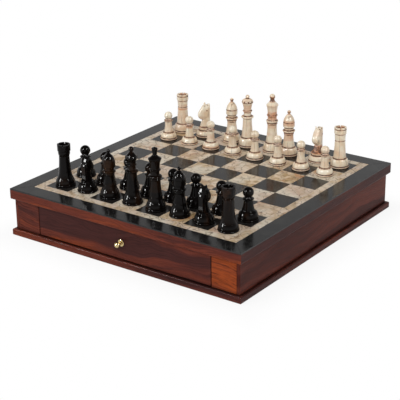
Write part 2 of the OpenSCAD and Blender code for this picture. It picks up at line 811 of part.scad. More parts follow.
module head_and_neck() {
    last = ring_steps * (len(HORSE) - 1);
    rings = [for (s = [0 : last]) ring(section(s))];
    polyhedron(
        points = [for (r = rings, p = r) p],
        faces = concat(
            [[for (k = [0 : ring_points - 1]) k]],
            [[for (k = [ring_points - 1 : -1 : 0]) last * ring_points + k]],
            [for (s = [0 : last - 1], k = [0 : ring_points - 1])
                let (next = (k + 1) % ring_points)
                [s * ring_points + k, (s + 1) * ring_points + k, (s + 1) * ring_points + next]],
            [for (s = [0 : last - 1], k = [0 : ring_points - 1])
                let (next = (k + 1) % ring_points)
                [s * ring_points + k, (s + 1) * ring_points + next, s * ring_points + next]]
        )
    );
}

// A slab down the back of the neck, from between the ears
module mane() {
    root = 7; // the last section whose back the mane follows
    back = [for (k = [0 : root + 1]) [HORSE[k][0][0] * nose_reach, HORSE[k][0][1] * horse_h]];
    top_z = back[root + 1][1] + mane_out / 2;
    outside = concat(
        [back[0]],
        [for (k = [1 : root]) [back[k][0] - mane_out, back[k][1]]],
        [[back[root][0] - mane_out / 2, top_z], [back[root + 1][0], top_z]]
    );
    inside = [for (k = [root : -1 : 0]) [back[k][0] + 2 * mane_out, back[k][1] - mane_out / 2]];
    translate([0, mane_w / 2, 0]) rotate([90, 0, 0]) linear_extrude(mane_w) polygon(concat(outside, inside));
}

module horse(side) {
    difference() {
        union() {
            head_and_neck();
            mane();
            for (m = [-1, 1]) {
                translate([0.05 * nose_reach, m * ear_out, horse_h - sink])
                    rotate([-m * ear_splay, -ear_splay, 0])
                        cylinder(r1 = ear_r, r2 = ear_r / 4, h = ear_l + sink);
            }
        }
        // the mouth and the eyes
        translate([0.72 * nose_reach, -horse_w, 0.43 * horse_h]) rotate([0, -ear_splay, 0])
            cube([nose_reach, 2 * horse_w, mouth_w]);
        for (m = [-1, 1]) {
            translate([-0.3 * nose_reach, m * (horse_w / 2 + eye_r / 3), 0.76 * horse_h]) sphere(r = eye_r);
        }
        if (side == "black") {
            translate([HORSE[0][0][0] * nose_reach - mane_out, -horse_w, 0.64 * horse_h])
                rotate([0, nape_slope, 0]) translate([-horse_w, 0, 0]) cube([horse_w, 2 * horse_w, horse_h]);
        }
    }
}

module knight(side, rows, r, turn) {
    turned(rows, r);
    translate([0, 0, rise(rows) - sink]) rotate([0, 0, turn]) horse(side);
}

// Which way each knight looks, in degrees from +X
function heading(name) =
    name == "white_knight_left" ? 216 :
    name == "white_knight_right" ? 270 : 90;

// Pieces that stand off the middle of their squares, with how far, as a share of a square
STRAYED = [
    ["black_rook_left", -0.02, -0.01],
    ["black_rook_right", 0.03, -0.1],
    ["black_pawn_1", -0.02, 0.11],
    ["black_pawn_3", 0.04, 0.03],
    ["black_pawn_6", -0.1, 0.07],
    ["black_pawn_8", 0.04, 0.03],
    ["white_rook_left", -0.08, 0.04],
    ["white_knight_left", -0.02, 0.05],
    ["white_bishop_left", 0.2, 0.12],
    ["white_king", 0.07, 0.06],
    ["white_bishop_right", -0.19, 0.06],
    ["white_knight_right", 0.07, 0.05],
    ["white_rook_right", 0.02, 0.02]
];
function strayed(name) = [for (s = STRAYED) if (s[0] == name) [s[1], s[2]]];

module stand(name, i, j) {
    off = concat(strayed(name), [[0, 0]])[0];
    color(j < CELLS / 2 ? horn : bone)
        translate([(i + 0.5 + off[0]) * square - field / 2, (j + 0.5 + off[1]) * square - field / 2, field_z])
            children();
}

module black_man(name, i, j) {
    stand(name, i, j) {
        if (i == 0 || i == CELLS - 1) rook(black_rook_rows, black_foot_r, black_rook_top_r);
        if (i == 1 || i == CELLS - 2) knight("black", black_knight_rows, black_foot_r, heading(name));
        if (i == 2 || i == CELLS - 3) bishop(black_bishop_rows, black_foot_r);
        if (i == 3) queen(black_queen_rows, black_foot_r);
        if (i == 4) turned(black_king_rows, black_foot_r);
    }
}

module white_man(name, i, j) {
    stand(name, i, j) {
        if (i == 0 || i == CELLS - 1) rook(white_rook_rows, foot_r, rook_top_r);
        if (i == 1 || i == CELLS - 2) knight("white", white_knight_rows, foot_r, heading(name));
        if (i == 2 || i == CELLS - 3) bishop(white_bishop_rows, foot_r);
        if (i == 3) queen(white_queen_rows, foot_r);
        if (i == 4) turned(white_king_rows, foot_r);
    }
}

base_board();
side_panel(-1);  // left_side
side_panel(1);  // right_side
at_end("front") stiles();  // front_stiles
at_end("back") stiles();  // back_stiles
divider();
drawer_guides();
top_board();
dark_band();
light_band();
squares(0, slate);  // dark_squares
squares(1, bone);  // light_squares
for (e = ENDS) {
    at_end(e) drawer_front();
    at_end(e) drawer_side(-1);
    at_end(e) drawer_side(1);
    at_end(e) drawer_back();
    at_end(e) drawer_bottom();
    at_end(e) drawer_lining();
    at_end(e) drawer_knob();
    at_end(e) drawer_knob_screw();
}
for (i = [0 : CELLS - 1]) {
    black_name = str("black_", RANK[i]);
    white_name = str("white_", RANK[i]);
    black_pawn = str("black_pawn_", i + 1);
    white_pawn = str("white_pawn_", i + 1);
    black_man(black_name, i, 0);
    white_man(white_name, i, CELLS - 1);
    stand(black_pawn, i, 1) turned(black_pawn_rows, black_foot_r);
    stand(white_pawn, i, CELLS - 2) turned(white_pawn_rows, pawn_foot_r);
}
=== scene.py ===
import math

import bmesh
import bpy
from mathutils import Matrix, Vector


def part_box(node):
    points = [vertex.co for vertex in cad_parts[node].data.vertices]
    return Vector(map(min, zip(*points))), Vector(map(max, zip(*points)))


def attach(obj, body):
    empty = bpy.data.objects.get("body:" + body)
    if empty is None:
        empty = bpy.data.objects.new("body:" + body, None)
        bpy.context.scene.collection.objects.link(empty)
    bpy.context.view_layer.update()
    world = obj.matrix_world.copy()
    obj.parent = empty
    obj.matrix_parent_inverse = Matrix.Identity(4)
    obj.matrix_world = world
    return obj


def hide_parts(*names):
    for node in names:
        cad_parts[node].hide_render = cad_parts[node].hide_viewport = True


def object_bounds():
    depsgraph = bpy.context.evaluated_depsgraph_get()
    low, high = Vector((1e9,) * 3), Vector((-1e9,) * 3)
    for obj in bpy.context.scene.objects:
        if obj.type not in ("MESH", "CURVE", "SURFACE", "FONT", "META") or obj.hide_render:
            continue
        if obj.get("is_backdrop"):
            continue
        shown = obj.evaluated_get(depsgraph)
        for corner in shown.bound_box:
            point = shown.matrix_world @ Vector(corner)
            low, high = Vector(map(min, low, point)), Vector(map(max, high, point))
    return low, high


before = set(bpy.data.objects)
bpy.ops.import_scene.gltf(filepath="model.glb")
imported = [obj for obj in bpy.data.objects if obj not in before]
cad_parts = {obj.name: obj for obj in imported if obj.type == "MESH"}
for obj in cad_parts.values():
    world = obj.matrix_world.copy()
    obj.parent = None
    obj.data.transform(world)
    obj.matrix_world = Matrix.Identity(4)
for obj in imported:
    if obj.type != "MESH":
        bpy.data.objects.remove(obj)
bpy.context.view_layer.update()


# ----------------------------------------
# Camera: a long lens a little above the box, off its front right corner, turned a hair clockwise.
# It looks along the line that the azimuth and elevation give, and stands a little off that line.
azimuth, elevation, camera_roll = 0.629363, 0.382965, -0.0108246
away, aside, below = 1.84309, -0.0069066, -0.0353882
aim = Vector((0, 0, 0.071))


def bearing(turn, rise):
    """The way out from the object at that azimuth and elevation."""
    return Vector((math.sin(turn) * math.cos(rise), -math.cos(turn) * math.cos(rise), math.sin(rise)))


back = bearing(azimuth, elevation)
right = Vector((math.cos(azimuth), math.sin(azimuth), 0))
up = back.cross(right)
lens = bpy.data.cameras.new("camera")
lens.sensor_width = 36
lens.lens = 115.551
camera = bpy.data.objects.new("camera", lens)
bpy.context.scene.collection.objects.link(camera)
rolled_right = right * math.cos(camera_roll) + up * math.sin(camera_roll)
rolled_up = up * math.cos(camera_roll) - right * math.sin(camera_roll)
camera.matrix_world = (
    Matrix.Translation(aim + back * away + right * aside + up * below)
    @ Matrix((rolled_right, rolled_up, back)).transposed().to_4x4()
)
bpy.context.scene.camera = camera
bpy.context.scene.view_settings.view_transform = "Standard"


# ----------------------------------------
# Studio: a pale room that grows dark towards its ceiling in polish, with a floor of white paper.
# Two broad panels light the top and the front. Two tall strips and a window are there for the
# polish, with the paired streaks that they leave on the turnings.
WHITE = (1, 1, 1, 1)
PAPER = (0.93, 0.93, 0.93, 1)
room_light = 0.55  # how much of the room's white falls on the object
ceiling_dark = 0.15  # how bright the ceiling is in polish
floor_radius = 4.0
shadow_white, shadow_start, shadow_end = 0.86, 0.19, 0.26  # how the shadow beside the box fades out


def add(tree, kind, inputs=(), **settings):
    """A shader node with its settings. Each input is a value or another node's output."""
    node = tree.nodes.new("ShaderNode" + kind)
    for name, value in settings.items():
        setattr(node, name, value)
    for name, value in dict(inputs).items():
        socket = node.inputs[name]
        if isinstance(value, bpy.types.NodeSocket):
            tree.links.new(value, socket)
        else:
            socket.default_value = value
    return node


def calc(tree, operation, a, b=0.0, c=0.0):
    return add(tree, "Math", {0: a, 1: b, 2: c}, operation=operation).outputs[0]


def between(tree, value, low, high, from_low=0.0, from_high=1.0):
    """A smooth step of value from low to high, out of the range between the last two."""
    sockets = {"Value": value, "From Min": from_low, "From Max": from_high, "To Min": low, "To Max": high}
    return add(tree, "MapRange", sockets, interpolation_type="SMOOTHSTEP").outputs[0]


def here(tree):
    """The place on the piece, which sits at the origin and so stays the same when it moves."""
    return add(tree, "TexCoord").outputs["Object"]


def parts(tree, vector):
    return add(tree, "SeparateXYZ", {0: vector}).outputs


def mixed(tree, share, a, b, way="MIX"):
    return add(tree, "Mix", {0: share, 6: a, 7: b}, data_type="RGBA", blend_type=way).outputs[2]


room = bpy.data.worlds.new("room")
room.use_nodes = True
tree = room.node_tree
tree.nodes.clear()
rays = add(tree, "LightPath").outputs
height = parts(tree, add(tree, "TexCoord").outputs["Generated"])["Z"]
in_polish = between(tree, height, 1.0, ceiling_dark, 0.0, 0.65)
strength = calc(tree, "ADD", calc(tree, "MULTIPLY", rays["Is Glossy Ray"], in_polish),
                calc(tree, "MULTIPLY", calc(tree, "SUBTRACT", 1.0, rays["Is Glossy Ray"]), room_light))
straight = calc(tree, "MAXIMUM", rays["Is Camera Ray"], rays["Is Transmission Ray"])
strength = calc(tree, "MAXIMUM", strength, straight)
background = add(tree, "Background", {"Color": WHITE, "Strength": strength})
tree.links.new(background.outputs[0], add(tree, "OutputWorld").inputs["Surface"])
bpy.context.scene.world = room

bm = bmesh.new()
bmesh.ops.create_circle(bm, cap_ends=True, segments=64, radius=floor_radius)
floor = bpy.data.objects.new("floor", bpy.data.meshes.new("floor"))
bm.to_mesh(floor.data)
bm.free()
bpy.context.scene.collection.objects.link(floor)
paper = bpy.data.materials.new("floor_paper")
paper.use_nodes = True
tree = paper.node_tree
tree.nodes.clear()
rays = add(tree, "LightPath").outputs
straight = calc(tree, "MAXIMUM", rays["Is Camera Ray"], rays["Is Transmission Ray"])
seen = calc(tree, "MAXIMUM", straight, rays["Is Glossy Ray"])
spot = parts(tree, here(tree))
out = calc(tree, "MAXIMUM", calc(tree, "ABSOLUTE", spot["X"]), calc(tree, "ABSOLUTE", spot["Y"]))
whitened = between(tree, out, shadow_white, 1.0, shadow_start, shadow_end)
matt = add(tree, "BsdfDiffuse", {"Color": PAPER}).outputs[0]
glow = add(tree, "Emission", {"Color": WHITE, "Strength": 1.0}).outputs[0]
surface = add(tree, "MixShader", {0: calc(tree, "MULTIPLY", seen, whitened), 1: matt, 2: glow}).outputs[0]
tree.links.new(surface, add(tree, "OutputMaterial").inputs["Surface"])
floor.data.materials.append(paper)
floor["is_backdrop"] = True


def panel(name, turn, rise, distance, size, watts, in_polish, on_matt=True):
    """A softbox at that azimuth and elevation in degrees, facing the middle of the board."""
    way = bearing(math.radians(turn), math.radians(rise))
    lamp = bpy.data.lights.new(name, "AREA")
    lamp.shape = "RECTANGLE"
    lamp.size, lamp.size_y = size
    lamp.energy = watts
    holder = bpy.data.objects.new(name, lamp)
    bpy.context.scene.collection.objects.link(holder)
    holder.location = aim + way * distance
    holder.rotation_mode = "QUATERNION"
    holder.rotation_quaternion = way.to_track_quat("Z", "Y")
    holder.visible_glossy, holder.visible_diffuse = in_polish, on_matt


panel("top_panel", -50, 60, 2.2, (1.6, 1.6), 9, False)
panel("front_panel", 22, 32, 2.6, (1.4, 1.0), 22, False)
panel("left_strip", -9, 38, 2.0, (0.09, 0.7), 32, True, False)
panel("right_strip", 80, 38, 2.0, (0.09, 0.7), 32, True, False)
panel("window", -36, 17, 2.0, (0.36, 0.36), 30, True, False)


# ----------------------------------------
# Rosewood carcass: a base board with rounded edges, two side panels, stiles beside the drawers and
# the board under the inlay. Solid oiled rosewood, planed, glued and rubbed to a low polish.
PLUM, RUSSET, FLAME = (0.056, 0.0165, 0.0145, 1), (0.135, 0.030, 0.0180, 1), (0.300, 0.058, 0.0140, 1)
# The second colour on the next line is painted shade. It goes into the corners and gaps of the carcass.
INK, CORNER_SHADE, MAROON = (0.016, 0.005, 0.004, 1), (0.006, 0.0025, 0.0015, 1), (0.060, 0.0110, 0.0070, 1)
edge_round = 0.002
arris = 0.0006  # the small chamfer that sandpaper leaves
crisp = 35  # degrees, past which an edge shows as one
stile_gap = 0.0005  # between a drawer's front and the stile beside it
shade_reach = 0.02  # how far painted shade reaches out of a corner
base_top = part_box("base_board")[1].z


def new_group(name, inputs, outputs):
    """An empty node group. Each input is its name, socket type and value."""
    group = bpy.data.node_groups.new(name, "ShaderNodeTree")
    for label, kind, value in inputs:
        socket = group.interface.new_socket(label, in_out="INPUT", socket_type="NodeSocket" + kind)
        socket.default_value = value
    for label, kind in outputs:
        group.interface.new_socket(label, in_out="OUTPUT", socket_type="NodeSocket" + kind)
    return group, group.nodes.new("NodeGroupInput").outputs, group.nodes.new("NodeGroupOutput").inputs


def noise(tree, vector, scale, detail, rough=0.55, twist=0.0):
    """Noise with that many repeats in a metre. Three numbers stretch it."""
    if isinstance(scale, tuple):
        vector, scale = add(tree, "Mapping", {"Vector": vector, "Scale": scale}).outputs[0], 1.0
    sockets = {"Vector": vector, "Scale": scale, "Detail": detail, "Roughness": rough, "Distortion": twist}
    return add(tree, "TexNoise", sockets).outputs["Fac"]


# Rosewood figure: X runs along the grain and Z across it. Broad bands wander through the board,
# with fine streaks, dark ink lines and short open pores over them, each at its repeats in a metre.
DRIFT, BANDS, STREAKS = (9, 18, 18), (4, 22, 50), (14, 160, 420)
INK_LINES, FIBRES, PORES = (8, 60, 190), (30, 900, 1500), (90, 1800, 2600)
figure, given, result = new_group(
    "rosewood_figure",
    [("Vector", "Vector", (0, 0, 0)), ("Dark", "Color", PLUM), ("Middle", "Color", RUSSET),
     ("Light", "Color", FLAME), ("Warmth", "Float", 0.0), ("Wander", "Float", 0.02), ("Slope", "Float", 0.0),
     ("Ink", "Float", 0.5), ("Contrast", "Float", 1.0), ("Streaks", "Float", 0.16)],
    [("Color", "Color"), ("Roughness", "Float"), ("Height", "Float")],
)
place = given["Vector"]
axes = parts(figure, place)
drift = noise(figure, place, DRIFT, 2.0)
across = calc(figure, "MULTIPLY_ADD", axes["X"], given["Slope"], axes["Z"])
across = calc(figure, "MULTIPLY_ADD", calc(figure, "SUBTRACT", drift, 0.5), given["Wander"], across)
bent = add(figure, "CombineXYZ", {"X": axes["X"], "Y": axes["Y"], "Z": across}).outputs[0]
bands = noise(figure, bent, BANDS, 2.0, 0.5)
streaks = noise(figure, bent, STREAKS, 4.0, 0.65)
banded, warmer = calc(figure, "SUBTRACT", bands, 0.5), calc(figure, "ADD", given["Warmth"], 0.5)
level = calc(figure, "MULTIPLY_ADD", banded, given["Contrast"], warmer)
level = calc(figure, "MULTIPLY_ADD", calc(figure, "SUBTRACT", streaks, 0.5), given["Streaks"], level)
colour = mixed(figure, between(figure, level, 0.0, 1.0, 0.42, 0.56), given["Dark"], given["Middle"])
colour = mixed(figure, between(figure, level, 0.0, 1.0, 0.56, 0.76), colour, given["Light"])
ridges = noise(figure, bent, INK_LINES, 3.0)
ridges = calc(figure, "ABSOLUTE", calc(figure, "SUBTRACT", ridges, 0.5))
inked = calc(figure, "MULTIPLY", between(figure, ridges, 1.0, 0.0, 0.0, 0.03), given["Ink"])
colour = mixed(figure, inked, colour, INK)
fibres = noise(figure, bent, FIBRES, 2.0)
shade = between(figure, fibres, 0.72, 1.2, 0.3, 0.7)
shade = add(figure, "CombineXYZ", {0: shade, 1: shade, 2: shade}).outputs[0]
colour = mixed(figure, 1.0, colour, shade, "MULTIPLY")
pores = noise(figure, bent, PORES, 1.0)
pores = between(figure, pores, 0.0, 1.0, 0.62, 0.7)
colour = mixed(figure, calc(figure, "MULTIPLY", pores, 0.6), colour, INK)
figure.links.new(colour, result["Color"])
rough = calc(figure, "MULTIPLY_ADD", pores, 0.2, between(figure, streaks, 0.26, 0.38))
figure.links.new(rough, result["Roughness"])
figure.links.new(calc(figure, "MULTIPLY_ADD", pores, -0.8, fibres), result["Height"])


def turned(tree, vector, turn, shift):
    """Coordinates turned by that many degrees about Z, then moved."""
    sockets = {"Vector": vector, "Location": shift, "Rotation": (0, 0, math.radians(turn))}
    return add(tree, "Mapping", sockets).outputs[0]


def finish_tree(name):
    material = bpy.data.materials.new(name)
    material.use_nodes = True
    material.node_tree.nodes.clear()
    return material, material.node_tree


def finish_with(tree, colour, roughness, height, bump, constants):
    """A Principled shader over a bump, with its fixed values set on its own sockets."""
    relief = add(tree, "Bump", {"Strength": 1.0, "Distance": bump, "Height": height}).outputs[0]
    shader = add(tree, "BsdfPrincipled", {"Base Color": colour, "Roughness": roughness, "Normal": relief})
    for name, value in constants.items():
        shader.inputs[name].default_value = value
    tree.links.new(shader.outputs[0], add(tree, "OutputMaterial").inputs["Surface"])


def rosewood(name, log_place, warmth, turn=0.0, mitred=None, **figured):
    """Rosewood from one place in the log, its grain at turn degrees from X. A mitred board has its
    grain along each of its sides, and those at the left and right are warmer or cooler by mitred.
    The other values go to the figure. Corners and gaps above the base board are darkened with painted shade."""
    material, tree = finish_tree(name)
    place, beside = here(tree), 0.0
    if mitred:
        axes = parts(tree, place)
        across, along = calc(tree, "ABSOLUTE", axes["X"]), calc(tree, "ABSOLUTE", axes["Y"])
        beside = calc(tree, "GREATER_THAN", across, along)
        swapped = add(tree, "CombineXYZ", {"X": axes["Y"], "Y": axes["X"], "Z": axes["Z"]}).outputs[0]
        place = add(tree, "Mix", {0: beside, 4: place, 5: swapped}, data_type="VECTOR").outputs[1]
    place = turned(tree, place, turn, log_place)
    sockets = {label.title(): value for label, value in figured.items()}
    sockets["Vector"] = place
    sockets["Warmth"] = calc(tree, "MULTIPLY_ADD", beside, mitred or 0.0, warmth)
    wood = add(tree, "Group", sockets, node_tree=figure).outputs
    # Painted shade: where the occlusion is deep, in corners and gaps above the base board, the wood is mixed
    # towards near black.
    hidden = add(tree, "AmbientOcclusion", {"Distance": shade_reach}, samples=8).outputs["AO"]
    raised = parts(tree, here(tree))["Z"]
    above = between(tree, raised, 0.0, 1.0, base_top - 0.003, base_top)
    shaded = calc(tree, "MULTIPLY", between(tree, hidden, 0.9, 0.0, 0.3, 0.95), above)
    colour = mixed(tree, shaded, wood["Color"], CORNER_SHADE)
    finish_with(tree, colour, wood["Roughness"], wood["Height"], 0.00006, {"Specular IOR Level": 0.06})
    return material


def block(bm, low, high):
    """Adds a box between two corners."""
    low, high = Vector(low), Vector(high)
    verts = bmesh.ops.create_cube(bm, size=1)["verts"]
    bmesh.ops.scale(bm, vec=high - low, verts=verts)
    bmesh.ops.translate(bm, vec=(low + high) / 2, verts=verts)


def rounded(bm, edges, radius, segments=2):
    bmesh.ops.bevel(bm, geom=list(edges), offset=radius, offset_type="OFFSET", segments=segments, profile=0.5,
                    affect="EDGES", clamp_overlap=True, material=-1)


def edges_at(bm, *heights):
    """The edges that lie flat at one of these heights."""
    return [e for e in bm.edges if any(all(abs(v.co.z - h) < 1e-6 for v in e.verts) for h in heights)]


def keep(bm, name, body, slot, material, *nodes):
    """Turns the mesh into a named piece that rides on a body and stands for its CAD nodes. Faces
    square to the box stay flat, and edges sharper than crisp degrees show as edges."""
    bmesh.ops.recalc_face_normals(bm, faces=bm.faces)
    for face in bm.faces:
        face.smooth = max(abs(c) for c in face.normal) < 0.9999
    for edge in bm.edges:
        edge.smooth = edge.calc_face_angle(0) < math.radians(crisp)
    mesh = bpy.data.meshes.new(name)
    bm.to_mesh(mesh)
    bm.free()
    piece = bpy.data.objects.new(name, mesh)
    bpy.context.scene.collection.objects.link(piece)
    mesh.materials.append(material)
    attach(piece, body)
    if nodes:
        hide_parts(*nodes)
    return piece


bm = bmesh.new()
low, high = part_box("base_board")
block(bm, low, high)
rounded(bm, edges_at(bm, low.z, high.z), edge_round, 5)
finish = rosewood("rosewood_base", (0.31, 0.2, 0.4), 0.03, mitred=-0.14, wander=0.012, contrast=0.6)
keep(bm, "base_moulding", "box", "rosewood", finish, "base_board")

for name, log_place in (("left_side", (0.9, 0.1, 0.23)), ("right_side", (0.2, 0.6, 0.71))):
    bm = bmesh.new()
    block(bm, *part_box(name))
    rounded(bm, bm.edges, arris)
    finish = rosewood("rosewood_" + name, log_place, -0.02, turn=90, dark=MAROON, wander=0.04, slope=0.01,
                      ink=0.15, contrast=0.5, streaks=0.1)
    keep(bm, name + "_panel", "box", "rosewood", finish, name)

STILE_WARMTH = {"front_left": 0.06, "front_right": 0.29, "back_left": 0.08, "back_right": 0.0}
for end in ("front", "back"):
    low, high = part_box(end + "_stiles")
    drawer_low, drawer_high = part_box(end + "_drawer_front")
    spans = {"left": (low.x, drawer_low.x - stile_gap), "right": (drawer_high.x + stile_gap, high.x)}
    for hand, span in spans.items():
        bm = bmesh.new()
        block(bm, (span[0], low.y, low.z), (span[1], high.y, high.z))
        rounded(bm, bm.edges, arris)
        warmth = STILE_WARMTH[end + "_" + hand]
        finish = rosewood(f"rosewood_{end}_{hand}_stile", (0.5, 0.3, 0.1 + warmth), warmth, wander=0.03,
                          ink=0.7, contrast=0.8)
        keep(bm, f"{end}_{hand}_stile", "box", "rosewood", finish, end + "_stiles")

bm = bmesh.new()
low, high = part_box("top_board")
block(bm, low, high)
rounded(bm, edges_at(bm, low.z), edge_round, 5)
finish = rosewood("rosewood_board", (0.77, 0.45, 0.93), 0.1, mitred=-0.17, wander=0.03, ink=0.3, contrast=0.6)
keep(bm, "board_edge", "box", "rosewood", finish, "top_board")


# ----------------------------------------
# Inlay: eight bands and sixty-four squares of stone, two millimetres thick, set edge to edge in
# glue on the board and polished as one surface. Dark slate, and pale crackled stone.
SLATE, SLATE_PALE = (0.0085, 0.0080, 0.0082, 1), (0.024, 0.0235, 0.022, 1)
SLATE_BLUE, SLATE_BROWN = (0.020, 0.023, 0.028, 1), (0.026, 0.020, 0.015, 1)
CREAM, BAND_CREAM, SAND = (0.73, 0.58, 0.41, 1), (0.68, 0.56, 0.44, 1), (0.45, 0.30, 0.14, 1)
RUST, VEIN = (0.46, 0.19, 0.065, 1), (0.09, 0.040, 0.02, 1)
ROSE, CHALK = (0.60, 0.48, 0.41, 1), (0.72, 0.66, 0.54, 1)
square = 0.04
hairline = 0.00018  # bevel on the top edge of each piece of stone
mitre_hair = 0.00005  # half of the joint between two lengths of a band
crack_waver = 0.012

crackle, given, result = new_group(
    "crackle",
    [("Vector", "Vector", (0, 0, 0)), ("Scale", "Float", 85.0), ("Width", "Float", 0.07),
     ("Patches", "Float", 40.0)],
    [("Lines", "Float")],
)
waver = add(crackle, "TexNoise", {"Vector": given["Vector"], "Scale": 120.0, "Detail": 3.0}).outputs["Color"]
sockets = {0: waver, 1: [crack_waver] * 3, 2: given["Vector"]}
bent = add(crackle, "VectorMath", sockets, operation="MULTIPLY_ADD").outputs[0]
sockets = {"Vector": bent, "Scale": given["Scale"]}
from_crack = add(crackle, "TexVoronoi", sockets, feature="DISTANCE_TO_EDGE").outputs["Distance"]
from_crack = calc(crackle, "DIVIDE", from_crack, given["Width"])
lines = calc(crackle, "SUBTRACT", 1.0, between(crackle, from_crack, 0.0, 1.0))
patches = noise(crackle, given["Vector"], given["Patches"], 3.0, 0.6)
lines = calc(crackle, "MULTIPLY", lines, between(crackle, patches, 0.25, 1.0, 0.35, 0.55))
crackle.links.new(lines, result["Lines"])


def stone_place(tree, per_square):
    """Object coordinates, moved by a different amount in each square so that no two are alike."""
    place = here(tree)
    if not per_square:
        return place, None
    cell = add(tree, "VectorMath", {0: place, 1: (square, square, 10)}, operation="SNAP").outputs[0]
    chance = add(tree, "TexWhiteNoise", {"Vector": cell}, noise_dimensions="3D").outputs
    sockets = {0: chance["Color"], 1: (3, 3, 3), 2: place}
    return add(tree, "VectorMath", sockets, operation="MULTIPLY_ADD").outputs[0], chance["Value"]


def slate(name, per_square):
    material, tree = finish_tree(name)
    place, chance = stone_place(tree, per_square)
    cloud = noise(tree, place, 45, 5.0, 0.62, 0.8)
    grain = noise(tree, place, 900, 3.0, 0.7)
    fleck = noise(tree, place, (260, 65, 260), 4.0, 0.7)
    colour = mixed(tree, between(tree, cloud, 0.0, 1.0, 0.4, 0.75), SLATE, SLATE_PALE)
    colour = mixed(tree, between(tree, fleck, 0.0, 0.7, 0.6, 0.75), colour, SLATE_BLUE)
    colour = mixed(tree, between(tree, grain, 0.0, 0.3, 0.5, 0.8), colour, SLATE_PALE)
    if chance:
        colour = mixed(tree, between(tree, chance, 0.1, 0.45), colour, SLATE_BROWN)
    roughness = between(tree, cloud, 0.1, 0.2, 0.3, 0.7)
    polish = 0.26 if per_square else 0.3
    finish_with(tree, colour, roughness, grain, 0.000006, {"Specular IOR Level": polish})
    return material


def cream_stone(name, per_square, cream, sandy, rusty):
    material, tree = finish_tree(name)
    place, chance = stone_place(tree, per_square)
    cracks = add(tree, "Group", {"Vector": place}, node_tree=crackle).outputs["Lines"]
    cloud = noise(tree, place, 42, 5.0, 0.6, 0.8)
    warm = noise(tree, place, 26, 4.0, 0.62, 1.5)
    colour = mixed(tree, between(tree, cloud, 0.0, sandy, 0.4, 0.6), cream, SAND)
    colour = mixed(tree, between(tree, warm, 0.0, rusty, 0.52, 0.70), colour, RUST)
    if chance:
        colour = mixed(tree, calc(tree, "MULTIPLY", chance, 0.55), colour, ROSE)
    chalk = between(tree, noise(tree, place, 16, 3.0, 0.6), 0.0, 0.7, 0.47, 0.62)
    colour = mixed(tree, chalk, colour, CHALK)
    colour = mixed(tree, calc(tree, "MULTIPLY", cracks, 0.8), colour, VEIN)
    roughness = between(tree, cloud, 0.12, 0.24, 0.3, 0.7)
    sunk = calc(tree, "SUBTRACT", 1.0, cracks)
    finish_with(tree, colour, roughness, sunk, 0.00003, {"Specular IOR Level": 0.3})
    return material


finishes = (slate("slate_squares", True), cream_stone("cream_squares", True, CREAM, 1.0, 0.85))
for odd, (name, finish) in enumerate(zip(("dark_squares", "light_squares"), finishes)):
    bm = bmesh.new()
    low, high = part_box(name)
    for i in range(8):
        for j in range(8):
            if (i + j) % 2 == odd:
                corner = Vector((low.x + i * square, low.y + j * square, low.z))
                block(bm, corner, corner + Vector((square, square, high.z - low.z)))
    rounded(bm, edges_at(bm, high.z), hairline, 1)
    keep(bm, name + "_inlay", "box", name.split("_")[0] + "_stone", finish, name)


def raise_region(bm, faces, way):
    """Extrudes faces and moves the new ones."""
    raised = bmesh.ops.extrude_face_region(bm, geom=faces)["geom"]
    verts = [g for g in raised if isinstance(g, bmesh.types.BMVert)]
    bmesh.ops.translate(bm, vec=way, verts=verts)
    return verts


def raise_face(bm, spots, way):
    """Adds a face through these spots and extrudes it."""
    raise_region(bm, [bm.faces.new([bm.verts.new(spot) for spot in spots])], way)


def mitred_band(inner, outer, low, high):
    """Four mitred lengths between two squares, each a four-cornered face extruded upwards."""
    bm = bmesh.new()
    for quarter in range(4):
        turn = Matrix.Rotation(math.radians(90 * quarter), 3, "Z")
        far, near = outer - mitre_hair, inner - mitre_hair
        spots = [(-far, -outer), (far, -outer), (near, -inner), (-near, -inner)]
        raise_face(bm, [turn @ Vector((x, y, low)) for x, y in spots], (0, 0, high - low))
    return bm


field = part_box("dark_squares")[1].x
light_low, light_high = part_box("light_band")
dark_low, dark_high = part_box("dark_band")
bm = mitred_band(field, light_high.x, light_low.z, light_high.z)
rounded(bm, edges_at(bm, light_high.z), hairline, 1)
finish = cream_stone("cream_band", False, BAND_CREAM, 0.7, 0.35)
keep(bm, "light_band_inlay", "box", "light_stone", finish, "light_band")
bm = mitred_band(light_high.x, dark_high.x, dark_low.z, dark_high.z)
rounded(bm, edges_at(bm, dark_high.z), hairline, 1)
keep(bm, "dark_band_inlay", "box", "dark_stone", slate("slate_band", False), "dark_band")


# ----------------------------------------
# Inside of the carcass: a divider between the drawers and a guide strip on each side of them.
# Plain straight-grained mahogany, left off the plane and glued to the base.
GINGER, TAN, FIBRE = (0.26, 0.115, 0.052, 1), (0.38, 0.19, 0.095, 1), (0.13, 0.05, 0.025, 1)


def plain_wood(name, turn, shift=(0, 0, 0)):
    material, tree = finish_tree(name)
    place = turned(tree, here(tree), turn, shift)
    stripe = noise(tree, place, (6, 120, 160), 4.0, 0.6)
    fibre = noise(tree, place, (60, 1500, 1800), 2.0)
    colour = mixed(tree, between(tree, stripe, 0.0, 1.0, 0.3, 0.7), GINGER, TAN)
    colour = mixed(tree, between(tree, fibre, 0.0, 0.5, 0.55, 0.75), colour, FIBRE)
    finish_with(tree, colour, between(tree, fibre, 0.5, 0.68), fibre, 0.00008, {"Specular IOR Level": 0.3})
    return material


for node, turn in (("divider", 0), ("drawer_guides", 90)):
    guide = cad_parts[node]
    guide.data.materials.clear()
    guide.data.materials.append(plain_wood("mahogany_" + node, turn))


